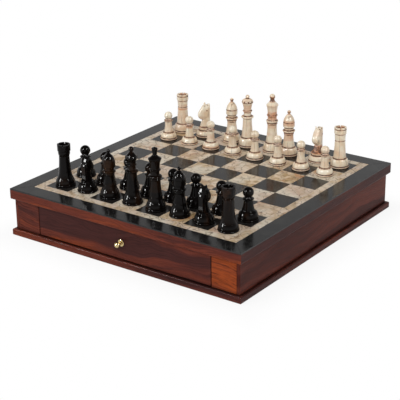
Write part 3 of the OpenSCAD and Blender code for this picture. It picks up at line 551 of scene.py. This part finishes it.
# ----------------------------------------
# Drawers: a rosewood front with a mahogany tray behind it, its bottom let into grooves and covered
# with baize. A turned brass knob is held by a screw from inside. The back drawer is the same.
BRASS, TARNISH = (0.56, 0.43, 0.22, 1), (0.25, 0.15, 0.06, 1)
STEEL, DULL_STEEL = (0.5, 0.5, 0.5, 1), (0.3, 0.29, 0.28, 1)
BOTTLE, MOSS, WORN_GREEN = (0.008, 0.03, 0.017, 1), (0.02, 0.075, 0.042, 1), (0.035, 0.085, 0.055, 1)
front_ease = 0.0004  # planed off the ends and the foot of each front, so that it slides freely
tray_arris, cloth_edge = 0.0003, 0.0002


def baize():
    material, tree = finish_tree("green_baize")
    place = here(tree)
    nap = noise(tree, place, 1400, 4.0, 0.75, 0.5)
    wear = noise(tree, place, 22, 3.0, 0.6)
    colour = mixed(tree, between(tree, nap, 0.0, 1.0, 0.3, 0.7), BOTTLE, MOSS)
    colour = mixed(tree, between(tree, wear, 0.0, 0.4, 0.5, 0.8), colour, WORN_GREEN)
    finish_with(tree, colour, between(tree, nap, 0.85, 1.0), nap, 0.0003,
                {"Sheen Weight": 0.35, "Specular IOR Level": 0.1})
    return material


def metal(name, tone, dull, rough):
    material, tree = finish_tree(name)
    place = here(tree)
    tarnish = noise(tree, place, 330, 4.0, 0.65)
    marks = noise(tree, place, (900, 10800, 900), 3.0)
    colour = mixed(tree, between(tree, tarnish, 0.0, 0.8, 0.5, 0.75), tone, dull)
    roughness = between(tree, tarnish, rough, rough + 0.2, 0.4, 0.8)
    roughness = calc(tree, "ADD", roughness, calc(tree, "MULTIPLY", marks, 0.05))
    finish_with(tree, colour, roughness, marks, 0.000008, {"Metallic": 1.0})
    return material


ARC = 14  # straight cuts in one curved stretch of a turning
sharp = 50  # degrees, past which the edge of a turning is eased


def cut(row, radius, height):
    """Points up one cut of a turning. A row is its kind, rise, end radius and swell."""
    kind, lift, end, swell = row
    if kind == "straight":
        return [(end, height + lift)]
    steps = range(1, ARC + 1)
    if kind == "bow":
        line = [(radius + (end - radius) * k / ARC, height + lift * k / ARC, k / ARC) for k in steps]
        return [(out + 4 * swell * t * (1 - t), up) for out, up, t in line]
    if kind == "bead":
        turns = [(math.pi * k / ARC, (1 - math.cos(math.pi * k / ARC)) / 2) for k in steps]
        return [(radius + (end - radius) * t + swell * math.sin(a), height + lift * t) for a, t in turns]
    if kind == "dome":
        turns = [math.pi / 2 * k / ARC for k in steps]
        return [(end + (radius - end) * math.cos(a), height + lift * math.sin(a)) for a in turns]
    low = math.acos(radius / swell)  # a ball
    turns = [-low + (math.pi / 2 + low) * k / (2 * ARC) for k in range(1, 2 * ARC + 1)]
    return [(swell * math.cos(a), height + swell * (math.sin(low) + math.sin(a))) for a in turns]


def ball(radius, start):
    return ("ball", radius + math.sqrt(radius * radius - start * start), 0, radius)


def turning(radius, rows, steps):
    """A closed turning in millimetres, standing on the origin, spun from its rows."""
    spots, height = [(0, 0), (radius, 0)], 0
    for row in rows:
        spots += cut(row, radius, height)
        radius, height = row[2], height + row[1]
    bm = bmesh.new()
    verts = [bm.verts.new((r, 0, z)) for r, z in spots]
    edges = [bm.edges.new(pair) for pair in zip(verts, verts[1:])]
    bmesh.ops.spin(bm, geom=verts + edges, cent=(0, 0, 0), axis=(0, 0, 1), angle=2 * math.pi, steps=steps,
                   use_merge=True)
    bmesh.ops.remove_doubles(bm, verts=bm.verts, dist=0.004)
    bmesh.ops.recalc_face_normals(bm, faces=bm.faces)
    return bm


def eased_to_place(bm, soft, matrix):
    """Rounds the sharp edges by that many millimetres. Then from millimetres to metres, in place."""
    rounded(bm, [e for e in bm.edges if e.calc_face_angle(0) > math.radians(sharp)], soft)
    bmesh.ops.transform(bm, matrix=matrix @ Matrix.Scale(0.001, 4), verts=bm.verts)


# The knob and its screw in millimetres: the radius at the wood, and the cuts from there outwards.
KNOB = (5, [("straight", 0.75, 5, 0), ("dome", 0.75, 2.3, 0), ("bow", 3, 2.3, -0.25), ball(4.2, 2.3)])
SCREW = (3.4, [("dome", 1.8, 3.0, 0), ("straight", 0, 1.5, 0), ("straight", 15, 1.5, 0),
               ("straight", 0, 0, 0)])
brass = metal("knob_brass", BRASS, TARNISH, 0.2)
steel = metal("screw_steel", STEEL, DULL_STEEL, 0.3)
# For each: its node, cuts, steps of the spin, rounding, slot, name and finish.
TURNED = (("knob", KNOB, 48, 0.2, "brass", "brass_knob", brass),
          ("knob_screw", SCREW, 32, 0.1, "screw", "steel_screw", steel))
felt = baize()
for end, half_turn in (("front", 0), ("back", 180)):
    body = end + "_drawer"
    low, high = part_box(body + "_front")
    bm = bmesh.new()
    block(bm, low + Vector((front_ease, 0, front_ease)), high - Vector((front_ease, 0, 0)))
    rounded(bm, bm.edges, arris)
    finish = rosewood("rosewood_" + body, (0.93 if end == "front" else 0.63, 0.8, 0.047), -0.03, wander=0.05,
                      slope=-0.05, ink=0.1, contrast=0.85, streaks=0.07)
    keep(bm, body + "_face", body, "rosewood", finish, body + "_front")
    for part in ("left_side", "right_side", "back", "bottom"):
        bm = bmesh.new()
        block(bm, *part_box(f"{body}_{part}"))
        rounded(bm, bm.edges, tray_arris)
        finish = plain_wood(f"mahogany_{body}_{part}", 90 if "side" in part else 0, (0.1, 0.2, 0.3))
        keep(bm, f"{body}_tray_{part}", body, "drawer_wood", finish, f"{body}_{part}")
    bm = bmesh.new()
    block(bm, *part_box(body + "_lining"))
    rounded(bm, bm.edges, cloth_edge)
    keep(bm, body + "_baize", body, "baize", felt, body + "_lining")
    outwards = Matrix.Rotation(math.radians(half_turn), 4, "Z") @ Matrix.Rotation(math.radians(90), 4, "X")
    for part, cuts, steps, soft, slot, name, finish in TURNED:
        low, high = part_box(f"{body}_{part}")
        foot = Vector((0, low.y if end == "back" else high.y, (low.z + high.z) / 2))
        bm = turning(*cuts, steps)
        eased_to_place(bm, soft, Matrix.Translation(foot) @ outwards)
        keep(bm, f"{body}_{name}", body, slot, finish, f"{body}_{part}")


# ----------------------------------------
# Chessmen: turned from bone and from buffalo horn, polished. The bone is built of staves round a
# core, and brown has gathered in its cuts and joints. The horn is black with a little brown in it.
IVORY, BUTTER = (0.95, 0.86, 0.69, 1), (0.82, 0.64, 0.44, 1)
BLUSH, SOIL = (0.70, 0.31, 0.15, 1), (0.105, 0.043, 0.02, 1)
HORN, HORN_BROWN = (0.0026, 0.0020, 0.0019, 1), (0.022, 0.010, 0.005, 1)
HORN_AMBER = (0.055, 0.021, 0.006, 1)
STAVES = 7  # strips of bone round the core
dirt_reach = 0.003  # how far dirt has crept out of a cut
line_half, line_fade, stain_fade, amber_fade = 0.4, 0.6, 1.5, 3  # millimetres up a chessman
CROWN_INSIDE, EYE_DIRT = (0.0062, 0.0068), (0.0009, 0.0016)  # radii where their dirt fades, and ends
NOTCHES, SLOTS = 8, 6  # round a queen's coronet and round a rook's crown


def piece_place(tree, centre, turn):
    """Coordinates from the middle of a chessman's foot, turned with it."""
    moved = -(Matrix.Rotation(-turn, 3, "Z") @ centre)
    sockets = {"Vector": here(tree), "Location": moved, "Rotation": (0, 0, -turn)}
    return add(tree, "Mapping", sockets).outputs[0]


aged, given, result = new_group(
    "aged_bone",
    [("Vector", "Vector", (0, 0, 0)), ("Seed", "Vector", (0, 0, 0)), ("Cavity", "Float", 0.0),
     ("Stain", "Float", 0.0)],
    [("Color", "Color"), ("Roughness", "Float"), ("Height", "Float")],
)
axes = parts(aged, given["Vector"])
seeded = add(aged, "VectorMath", {0: given["Vector"], 1: given["Seed"]}, operation="ADD").outputs[0]
angle = calc(aged, "ARCTAN2", axes["Y"], axes["X"])
waver = noise(aged, seeded, 60, 2.0)
turns = calc(aged, "MULTIPLY_ADD", angle, STAVES / (2 * math.pi), calc(aged, "MULTIPLY", waver, 0.5))
beside = calc(aged, "ABSOLUTE", calc(aged, "SUBTRACT", calc(aged, "FRACT", turns), 0.5))
joint = between(aged, beside, 0.0, 1.0, 0.44, 0.49)
open_joint = noise(aged, seeded, (120, 120, 48), 2.0)
joint = calc(aged, "MULTIPLY", joint, between(aged, open_joint, 0.0, 1.0, 0.42, 0.6))
streak = noise(aged, seeded, (620, 620, 55.8), 3.0, 0.6)
cloud = noise(aged, seeded, 75, 4.0, 0.6)
zones = noise(aged, seeded, (16.8, 16.8, 76.8), 2.0, 0.5)
colour = mixed(aged, between(aged, cloud, 0.0, 1.0, 0.36, 0.68), IVORY, BUTTER)
colour = mixed(aged, between(aged, streak, 0.0, 0.6, 0.5, 0.7), colour, BUTTER)
stain = calc(aged, "MULTIPLY", given["Stain"], between(aged, cloud, 0.6, 1.0, 0.35, 0.6))
stain = calc(aged, "MAXIMUM", between(aged, zones, 0.0, 0.25, 0.56, 0.68), stain)
colour = mixed(aged, stain, colour, BLUSH)
colour = mixed(aged, calc(aged, "MULTIPLY", joint, 0.6), colour, SOIL)
colour = mixed(aged, between(aged, given["Cavity"], 0.0, 0.6, 0.0, 0.45), colour, BLUSH)
colour = mixed(aged, between(aged, given["Cavity"], 0.0, 1.0, 0.2, 0.9), colour, SOIL)
aged.links.new(colour, result["Color"])
rough = calc(aged, "MULTIPLY_ADD", given["Cavity"], 0.35, between(aged, cloud, 0.2, 0.34))
aged.links.new(rough, result["Roughness"])
aged.links.new(calc(aged, "SUBTRACT", streak, calc(aged, "ADD", joint, given["Cavity"])), result["Height"])


# Where the bone is stained with orange: from and to in millimetres up the chessman, and how much.
PLAIN_STAIN = [(14, 26, 0.12)]
STAINS = {
    "white_king": [(51, 62, 0.9), (38, 45, 0.3), (80, 84, 1)],
    "white_queen": [(53, 66, 0.45), (20, 40, 0.15)],
    "white_rook_left": [(6, 33, 0.25), (37, 38.5, 0.9), (41, 45, 0.3)], "white_bishop_left": [(12, 30, 0.3)],
    "white_bishop_right": [(24, 36, 0.55), (47, 54, 0.5)], "white_knight_right": [(14, 25, 0.9)],
    "white_pawn_2": [(26, 30, 0.8)], "white_pawn_3": [(3, 5, 0.6), (14, 24, 0.3)]}
# Where it is brown from being handled: from, to, how much and the fade.
GRIME = {
    "white_king": [(79, 84, 0.85, 3)], "white_knight_right": [(15, 24, 0.75, 1.5)],
    "white_bishop_left": [(64, 67, 0.7, 2)], "white_bishop_right": [(64, 67, 0.6, 2)]}
# Where the horn is brown and lets some light in.
AMBERS = {
    "black_bishop_left": [(36, 54, 0.35), (10, 20, 0.1)], "black_king": [(28, 70, 0.1)],
    "black_rook_right": [(12, 44, 0.06)]}


def height_ramp(tree, level, bands):
    """Flat steps up a chessman, as a ramp over 100 mm. A band is its start, end, amount and fade."""
    ramp = add(tree, "ValToRGB", {0: calc(tree, "MULTIPLY", level, 10)})
    steps = ramp.color_ramp.elements
    steps[0].color, steps[1].color = (0, 0, 0, 1), (0, 0, 0, 1)
    for start, stop, amount, fade in bands:
        for height, value in ((start - fade, 0), (start, amount), (stop, amount), (stop + fade, 0)):
            steps.new(max(height, 0.1) / 100).color = (value, value, value, 1)
    return ramp.outputs["Color"]


def bone(name, centre, turn, seed, cuts, crown_floor=0, eye=None, rim=0):
    """Bone with brown dirt where the surface is hollow and along the cuts. A rook is brown inside
    its crown, over its floor, a horse in its eyes, and a queen in the notches of her rim."""
    material, tree = finish_tree("finish_" + name)
    place = piece_place(tree, centre, turn)
    hidden = add(tree, "AmbientOcclusion", {"Distance": dirt_reach}, samples=8).outputs["AO"]
    dirt = between(tree, hidden, 0.95, 0.0, 0.4, 0.9)
    spot = parts(tree, place)
    patchy = between(tree, noise(tree, place, 260, 2.0), 0.5, 1.0, 0.35, 0.6)
    lines = [(cut_at - line_half, cut_at + line_half, 1, line_fade) for cut_at in cuts]
    for band in (lines, GRIME[name]) if name in GRIME else (lines,):
        brown = calc(tree, "MULTIPLY", height_ramp(tree, spot["Z"], band), patchy)
        dirt = calc(tree, "MAXIMUM", dirt, brown)
    if crown_floor:
        out = add(tree, "VectorMath", {0: place, 1: (1, 1, 0)}, operation="MULTIPLY").outputs[0]
        out = add(tree, "VectorMath", {0: out}, operation="LENGTH").outputs["Value"]
        within = between(tree, out, 0.4, 0.0, *CROWN_INSIDE)
        above = between(tree, spot["Z"], 0.0, 1.0, crown_floor / 1000, crown_floor / 1000 + 0.0003)
        dirt = calc(tree, "MAXIMUM", dirt, calc(tree, "MULTIPLY", within, above))
    if eye:
        sockets = {"X": spot["X"], "Y": calc(tree, "ABSOLUTE", spot["Y"]), "Z": spot["Z"]}
        folded = add(tree, "CombineXYZ", sockets).outputs[0]
        beside = add(tree, "VectorMath", {0: folded, 1: eye / 1000}, operation="DISTANCE").outputs["Value"]
        dirt = calc(tree, "MAXIMUM", dirt, between(tree, beside, 0.9, 0.0, *EYE_DIRT))
    if rim:
        angle = calc(tree, "ARCTAN2", spot["Y"], spot["X"])
        notch = calc(tree, "MULTIPLY_ADD", angle, NOTCHES / (2 * math.pi), 0.5)
        beside = calc(tree, "ABSOLUTE", calc(tree, "SUBTRACT", calc(tree, "FRACT", notch), 0.5))
        notched, band = between(tree, beside, 1.0, 0.0, 0.08, 0.26), [(rim - 2, rim, 1, 0.4)]
        notched = calc(tree, "MULTIPLY", notched, height_ramp(tree, spot["Z"], band))
        dirt = calc(tree, "MAXIMUM", dirt, notched)
    stains = [(*stain, stain_fade) for stain in STAINS.get(name, PLAIN_STAIN)]
    sockets = {"Vector": place, "Seed": seed, "Cavity": dirt, "Stain": height_ramp(tree, spot["Z"], stains)}
    old = add(tree, "Group", sockets, node_tree=aged).outputs
    finish_with(tree, old["Color"], old["Roughness"], old["Height"], 0.00005, {"Specular IOR Level": 0.4})
    return material


def horn(name, centre, turn, seed):
    material, tree = finish_tree("finish_" + name)
    place = piece_place(tree, centre, turn)
    seeded = add(tree, "VectorMath", {0: place, 1: seed}, operation="ADD").outputs[0]
    cloud = noise(tree, seeded, (55, 55, 27.5), 3.0, 0.6)
    scratch = noise(tree, seeded, (700, 700, 5600), 2.0)
    colour = mixed(tree, between(tree, cloud, 0.02, 1.0, 0.55, 0.8), HORN, HORN_BROWN)
    if name in AMBERS:
        level = parts(tree, place)["Z"]
        ramp = height_ramp(tree, level, [(*amber, amber_fade) for amber in AMBERS[name]])
        share = calc(tree, "MULTIPLY", ramp, between(tree, cloud, 0.4, 1.0, 0.35, 0.6))
        colour = mixed(tree, share, colour, HORN_AMBER)
    roughness = between(tree, cloud, 0.03, 0.07)
    finish_with(tree, colour, roughness, scratch, 0.000001, {"Specular IOR Level": 0.11})
    return material


SCRIBE = 0.6  # height of a line cut by the turner's point
BEAD = 2.8 / 3  # how far the lowest bead of a foot stands out
MITRE, mitre_ball = 12.8, 5.4  # heights of a bishop's pointed top and of the ball on it
ROOK_STEPS = 96  # of its spin


def tread(radius):
    return [("bead", 2.8, radius - BEAD, BEAD), ("bead", 0.8, radius - BEAD, -0.8)]


def domed_foot(radius, dome, stem):
    return tread(radius) + [("dome", dome, stem, 0), ("bead", SCRIBE, stem, -SCRIBE / 2)]


def flared_foot(flare, stem):
    return tread(14.5) + [("bow", 7.8, 11.3, 0.6), ("bow", flare, stem, -0.5)]


def crown(wall, hollow):
    """Ends a rook with the floor of its slots, for battlement to raise the rest of the wall."""
    return [("straight", SCRIBE, wall, 0), ("straight", 6.6, wall, 0), ("straight", 0, hollow, 0),
            ("straight", -1.6, hollow, 0), ("straight", 0, 0, 0)]


def mitre(neck, ring, collar, wide, swell):
    """Ends a bishop with two rings, a cup, the pointed top and its ball."""
    return [("bead", 2.4, neck, ring), ("straight", 1.2, neck, 0), ("bead", 3.4, neck, collar),
            ("bow", 3.6, 7.2, 0), ("bow", 1.2, wide, 0), ("bow", 7, wide, 0),
            ("straight", 0.3, wide - 0.3, 0), ("bow", MITRE, 1.35, swell), ball(mitre_ball / 2, 1.35)]


# Each chessman in millimetres: the radius of its foot, and the cuts from the board upwards.
MEN = {
    "white_pawn": (13, domed_foot(13, 7.6, 6.6) + [
        ("bow", 16.8, 5.3, -0.5), ("bead", 2.2, 5.3, 1.5), ("bow", 2, 4.4, 0), ball(6.2, 4.4)]),
    "black_pawn": (14.5, flared_foot(2.6, 8.5) + [
        ("bow", 14, 5.9, -0.5), ("bead", 2.2, 5.9, 1.9), ("bow", 2, 4.4, 0), ball(7.4, 4.4)]),
    "white_rook": (14, domed_foot(14, 10.3, 9.3) + [
        ("bow", 26, 7.5, -0.25), ("bead", SCRIBE, 7.5, -SCRIBE / 2), ("bow", 9.6, 8, 0)] + crown(8.9, 6.3)),
    "black_rook": (14.5, flared_foot(10.6, 8.8) + [
        ("bow", 21.4, 7.4, -0.25), ("bead", SCRIBE, 7.4, -SCRIBE / 2),
        ("bow", 7, 8.3, 0.5)] + crown(9.3, 6.7)),
    "white_bishop": (14, domed_foot(14, 9.6, 9.2) + [
        ("bow", 18.6, 6.8, -0.5)] + mitre(6.8, 0.8, 2.6, 8.6, 1.72)),
    "black_bishop": (14.5, flared_foot(8, 9.4) + [
        ("bow", 13, 7.1, -0.5)] + mitre(7.1, 0.5, 2.3, 8.9, 1.78)),
    "white_queen": (14, domed_foot(14, 11.4, 9) + [
        ("bow", 29.4, 6.7, -0.5), ("bead", 3.8, 5.8, 3.1), ("bow", 6, 5.8, -0.25), ("bead", 2.4, 5.8, 1.4),
        ("bow", 12.6, 8.6, -0.75), ("bead", 1.8, 8, 0.3), ("dome", 3.8, 1.55, 0), ball(3.1, 1.55)]),
    "black_queen": (14.5, flared_foot(8, 9.2) + [
        ("bow", 25.6, 6.9, -0.5), ("bead", 3.8, 5.8, 3.1), ("bow", 6, 5.8, -0.25), ("bead", 2.4, 5.8, 1.4),
        ("bow", 8, 8.6, -0.75), ("bead", 1.8, 8, 0.3), ("bow", 7.4, 1.8, 0.5), ball(3.6, 1.8)]),
    "white_king": (14, domed_foot(14, 10.8, 9.2) + [
        ("bow", 27.4, 6.9, -0.5), ("bead", 2.4, 6.9, 1.1), ("straight", 0.6, 6.9, 0), ("bead", 4, 7, 1.9),
        ("bow", 6, 7, -0.25), ("bead", 2.4, 7, 1), ("bow", 13.2, 8.4, -0.5), ("straight", 0.6, 9, 0),
        ("straight", 1.2, 9, 0), ("bow", 5.4, 4, 0), ("bow", 4, 3, -0.25), ball(4.2, 3)]),
    "black_king": (14.5, flared_foot(8, 9.4) + [
        ("bow", 23, 7.1, -0.5), ("bead", 2.4, 7.1, 0.9), ("straight", 0.6, 7.1, 0), ("bead", 4, 6.2, 2.7),
        ("bow", 6, 6.2, -0.25), ("bead", 2.4, 6.2, 1.8), ("bow", 13.2, 8.4, -0.5), ("straight", 0.6, 9, 0),
        ("straight", 1.2, 9, 0), ("bow", 4.6, 2.9, -0.25), ("bow", 9.1, 4.1, 0), ("dome", 1, 1.9, 0),
        ("dome", 1, 0, 0)]),
    "white_knight": (14, domed_foot(14, 7, 8.8) + [("bead", 4.6, 8.8, 0.6), ("straight", 0, 0, 0)]),
    "black_knight": (14.5, flared_foot(2.6, 8.8) + [("bead", 1.8, 8.8, 0.6), ("straight", 0, 0, 0)]),
}


def battlement(bm):
    """Raises the rook's wall beside slots that are two steps of the spin wide."""
    inner, tall, every, step = 6.3, 2.4, 360 / SLOTS, 360 / ROOK_STEPS
    wall, top = [], max(v.co.z for v in bm.verts)
    for face in bm.faces:
        middle = face.calc_center_median()
        turn = math.degrees(math.atan2(middle.y, middle.x)) % every
        if abs(middle.z - top) < 1e-4 and middle.to_2d().length > inner and step < turn < every - step:
            wall.append(face)
    raise_region(bm, wall, (0, 0, tall))


def scallop(bm, rim):
    """Files round notches across the rim of the queen's coronet, up to its inner edge."""
    half, radius, inner, run_out = math.pi / NOTCHES, 1.5, 6.1, 0.6
    for v in bm.verts:
        reach, turn = v.co.to_2d().length, math.atan2(v.co.y, v.co.x)
        beside = reach * math.sin((turn + half) % (2 * half) - half)
        if reach > inner and abs(beside) < radius and abs(v.co.z - rim) < radius:
            deep = math.sqrt(radius ** 2 - beside ** 2) * min(1, (reach - inner) / run_out)
            v.co.z = min(v.co.z, rim - deep)


def once(elements):
    """Each element one time, in the order in which they come."""
    return list(dict.fromkeys(elements))


def saw(bm, start, slope, width, pinch=1.0):
    """Saws a slot that runs from its start outwards along X, rising at slope degrees. Its bottom
    is as wide as the wood there, times pinch."""
    a, behind, hair = math.radians(slope), 2, 0.02
    along, across = Vector((math.cos(a), 0, math.sin(a))), Vector((-math.sin(a), 0, math.cos(a)))
    for spot, way in ((start, across), (start + across * width, across), (start, along)):
        near = [f for f in bm.faces if (f.calc_center_median() - start).dot(along) > -behind]
        geom = near + once(e for f in near for e in f.edges) + once(v for f in near for v in f.verts)
        bmesh.ops.bisect_plane(bm, geom=geom, dist=1e-4, plane_co=spot, plane_no=way)
    strip = []
    for face in bm.faces:
        middle = face.calc_center_median() - start
        if middle.dot(along) > 0 and 0 < middle.dot(across) < width:
            strip.append(face)
    for v in raise_region(bm, strip, (0, 0, 0)):
        v.co -= along * ((v.co - start).dot(along) + hair)
        v.co.y *= pinch


# Sections through a horse, from the plinth up its neck and down its face, as shares of the reach of
# its nose, its height and its width: [forward, up] on the back or brow, on the chest or throat, width.
nose_reach, horse_h, horse_w = 10.8, 35.6, 11.6
sunk = 0.5  # how far the horse stands in its plinth
EYE, eye_radius = Vector((-0.3 * nose_reach, horse_w / 2 + 0.37, 0.76 * horse_h)), 1.1
HORSE = [
    (-0.65, -0.02, 0.74, -0.02, 0.94), (-0.66, 0.12, 0.64, 0.1, 0.86), (-0.66, 0.24, 0.54, 0.19, 0.81),
    (-0.66, 0.36, 0.45, 0.27, 0.79), (-0.66, 0.5, 0.37, 0.305, 0.81), (-0.66, 0.64, 0.32, 0.31, 0.93),
    (-0.66, 0.82, 0.32, 0.313, 0.99), (-0.65, 0.97, 0.36, 0.318, 1), (-0.38, 1, 0.4, 0.322, 1),
    (0.14, 1, 0.46, 0.328, 0.98), (0.42, 0.91, 0.57, 0.34, 0.95), (0.62, 0.8, 0.68, 0.36, 0.9),
    (0.8, 0.72, 0.79, 0.385, 0.82), (0.94, 0.645, 0.89, 0.425, 0.7), (1, 0.575, 0.965, 0.465, 0.5)]


def midway(a, b, c, d, t):
    """A value on the smooth curve from b to c, which a and d come before and after."""
    return (2 * b + (c - a) * t + (2 * a - 5 * b + 4 * c - d) * t * t + (3 * b - a - 3 * c + d) * t ** 3) / 2


def neck_and_head():
    """Lofts the horse through rings, then saws its mouth and sinks its eyes."""
    bm = bmesh.new()
    steps, points, fullness = 3, 28, 1.4
    loops, last = [], len(HORSE) - 1
    for step in range(last * steps + 1):
        i, t = divmod(step / steps, 1)
        four = [HORSE[max(0, min(last, int(i) + k))] for k in (-1, 0, 1, 2)]
        x0, z0, x1, z1, width = [midway(*values, t) for values in zip(*four)]
        back, front = Vector((x0 * nose_reach, 0, z0 * horse_h)), Vector((x1 * nose_reach, 0, z1 * horse_h))
        verts = bmesh.ops.create_circle(bm, cap_ends=False, segments=points, radius=1)["verts"]
        for v in verts:
            run, wide = [math.copysign(abs(c) ** (1 / fullness), c) for c in v.co.xy]
            v.co = (back + front) / 2 + (front - back) / 2 * run + Vector((0, width * horse_w / 2 * wide, 0))
        loops.append(once(e for v in verts for e in v.link_edges))
    for one, two in zip(loops, loops[1:]):
        bmesh.ops.bridge_loops(bm, edges=one + two)
    for loop in (loops[0], loops[-1]):
        bmesh.ops.edgeloop_fill(bm, edges=loop)
    mouth = Vector((0.72 * nose_reach, 0, 0.43 * horse_h))
    saw(bm, mouth, slope=10, width=0.8, pinch=0.9)
    for hand in (-1, 1):
        spot = Vector((EYE.x, EYE.y * hand, EYE.z))
        around = [f for f in bm.faces if (f.calc_center_median() - spot).length < eye_radius + 0.8]
        near = once(e for f in around for e in f.edges)
        bmesh.ops.subdivide_edges(bm, edges=near, cuts=3, use_grid_fill=True)
        for v in bm.verts:
            beside = Vector((v.co.x - spot.x, 0, v.co.z - spot.z)).length
            if beside < eye_radius and v.co.y * hand > 3:
                v.co.y = hand * min(abs(v.co.y), EYE.y - math.sqrt(eye_radius ** 2 - beside ** 2))
    return bm


def mane():
    """A slab down the back of the neck, from between the ears, standing proud of it."""
    proud, width = 0.9, 7
    back = [(s[0] * nose_reach, s[1] * horse_h) for s in HORSE[:9]]
    top = back[8][1] + proud / 2
    outline = [back[0]] + [(x - proud, z) for x, z in back[1:8]]
    outline += [(back[7][0] - proud / 2, top), (back[8][0], top)]
    outline += [(x + 2 * proud, z - proud / 2) for x, z in reversed(back[:8])]
    bm = bmesh.new()
    raise_face(bm, [(x, -width / 2, z) for x, z in outline], (0, width, 0))
    behind = [e for e in bm.edges if all(v.co.x < -6 for v in e.verts)]
    rounded(bm, [e for e in behind if abs(e.verts[0].co.y - e.verts[1].co.y) < 0.1], 0.4)
    return bm


def ear(hand):
    length, tilt = 2.8, math.radians(-10)
    foot = Vector((0.54, 3.2 * hand, horse_h - 0.5))
    bm = bmesh.new()
    bmesh.ops.create_cone(bm, cap_ends=True, segments=20, radius1=1.9, radius2=0.6, depth=length)
    rounded(bm, [e for e in bm.edges if all(v.co.z > 1.3 for v in e.verts)], 0.3)
    lean = Matrix.Rotation(tilt, 4, "Y") @ Matrix.Rotation(tilt * hand, 4, "X")
    place = Matrix.Translation(foot) @ lean @ Matrix.Translation((0, 0, length / 2))
    bmesh.ops.transform(bm, matrix=place, verts=bm.verts)
    return bm


def add_horse(bm, side, level):
    """Sets the parts of a horse on the plinth. The black ones have a flat nape, which leans back."""
    lean, nape = math.radians(24), Vector((-7.92, 0, 0.64 * horse_h))
    forward = Vector((math.cos(lean), 0, -math.sin(lean)))
    for part, deeper in ((neck_and_head(), 0), (mane(), 0.05), (ear(-1), 0), (ear(1), 0)):
        if side == "black":
            geom, spot = part.verts[:] + part.edges[:] + part.faces[:], nape + Vector((deeper, 0, 0))
            sliced = bmesh.ops.bisect_plane(part, geom=geom, dist=1e-4, plane_co=spot, plane_no=forward,
                                            clear_inner=True)
            edges = [g for g in sliced["geom_cut"] if isinstance(g, bmesh.types.BMEdge)]
            if edges:
                bmesh.ops.edgeloop_fill(part, edges=edges)
        bmesh.ops.translate(part, vec=(0, 0, level), verts=part.verts)
        spare = bpy.data.meshes.new("spare")
        part.to_mesh(spare)
        part.free()
        bm.from_mesh(spare)
        bpy.data.meshes.remove(spare)


ARMY = ["rook_left", "knight_left", "bishop_left", "queen", "king", "bishop_right", "knight_right"]
ARMY += ["rook_right"] + [f"pawn_{n}" for n in range(1, 9)]
HORSE_TURN = {"white_knight_left": 216, "white_knight_right": 270}  # degrees, the black ones at 90
ROUND = {"rook": ROOK_STEPS, "queen": 128}  # steps of the spin
least_gap, most_cuts = 1.7, 7  # which cuts hold a line of dirt: a ramp has room for seven
handled = 0.12  # millimetres that hands have taken off the edges
for number, name in enumerate(f"{side}_{man}" for side in ("black", "white") for man in ARMY):
    side, kind = name.split("_")[:2]
    low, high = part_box(name)
    radius, rows = MEN[f"{side}_{kind}"]
    total = sum(row[1] for row in rows)
    rim = total - rows[-1][1] - rows[-2][1]
    centre = Vector(((low.x + high.x) / 2, (low.y + high.y) / 2, low.z))
    turn = math.radians(HORSE_TURN.get(name, 90)) if kind == "knight" else 0.0
    bm = turning(radius - BEAD, rows, ROUND.get(kind, 64))
    if kind == "rook":
        battlement(bm)
    if kind == "queen":
        scallop(bm, rim)
    if kind == "bishop":
        slot_start = Vector((2.58, 0, total - mitre_ball - MITRE * 0.4))
        saw(bm, slot_start, slope=50, width=1.2)
    if kind == "knight":
        add_horse(bm, side, total - sunk)
    eased_to_place(bm, handled, Matrix.Translation(centre) @ Matrix.Rotation(turn, 4, "Z"))
    seed = Vector((number * 0.37, number * 0.61, number * 0.23))
    heights = [sum(row[1] for row in rows[:k]) for k in range(1, len(rows))]
    cuts = [h for h, below in zip(heights, [0] + heights) if h - below > least_gap][:most_cuts]
    if side == "black":
        finish = horn(name, centre, turn, seed)
    else:
        own = {"rook": {"crown_floor": total - 0.4}, "queen": {"rim": rim},
               "knight": {"eye": EYE + Vector((0, 0, total - sunk))}}
        finish = bone(name, centre, turn, seed, cuts, **own.get(kind, {}))
    keep(bm, name + "_turned", name, side + "_piece", finish, name)


low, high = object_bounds()
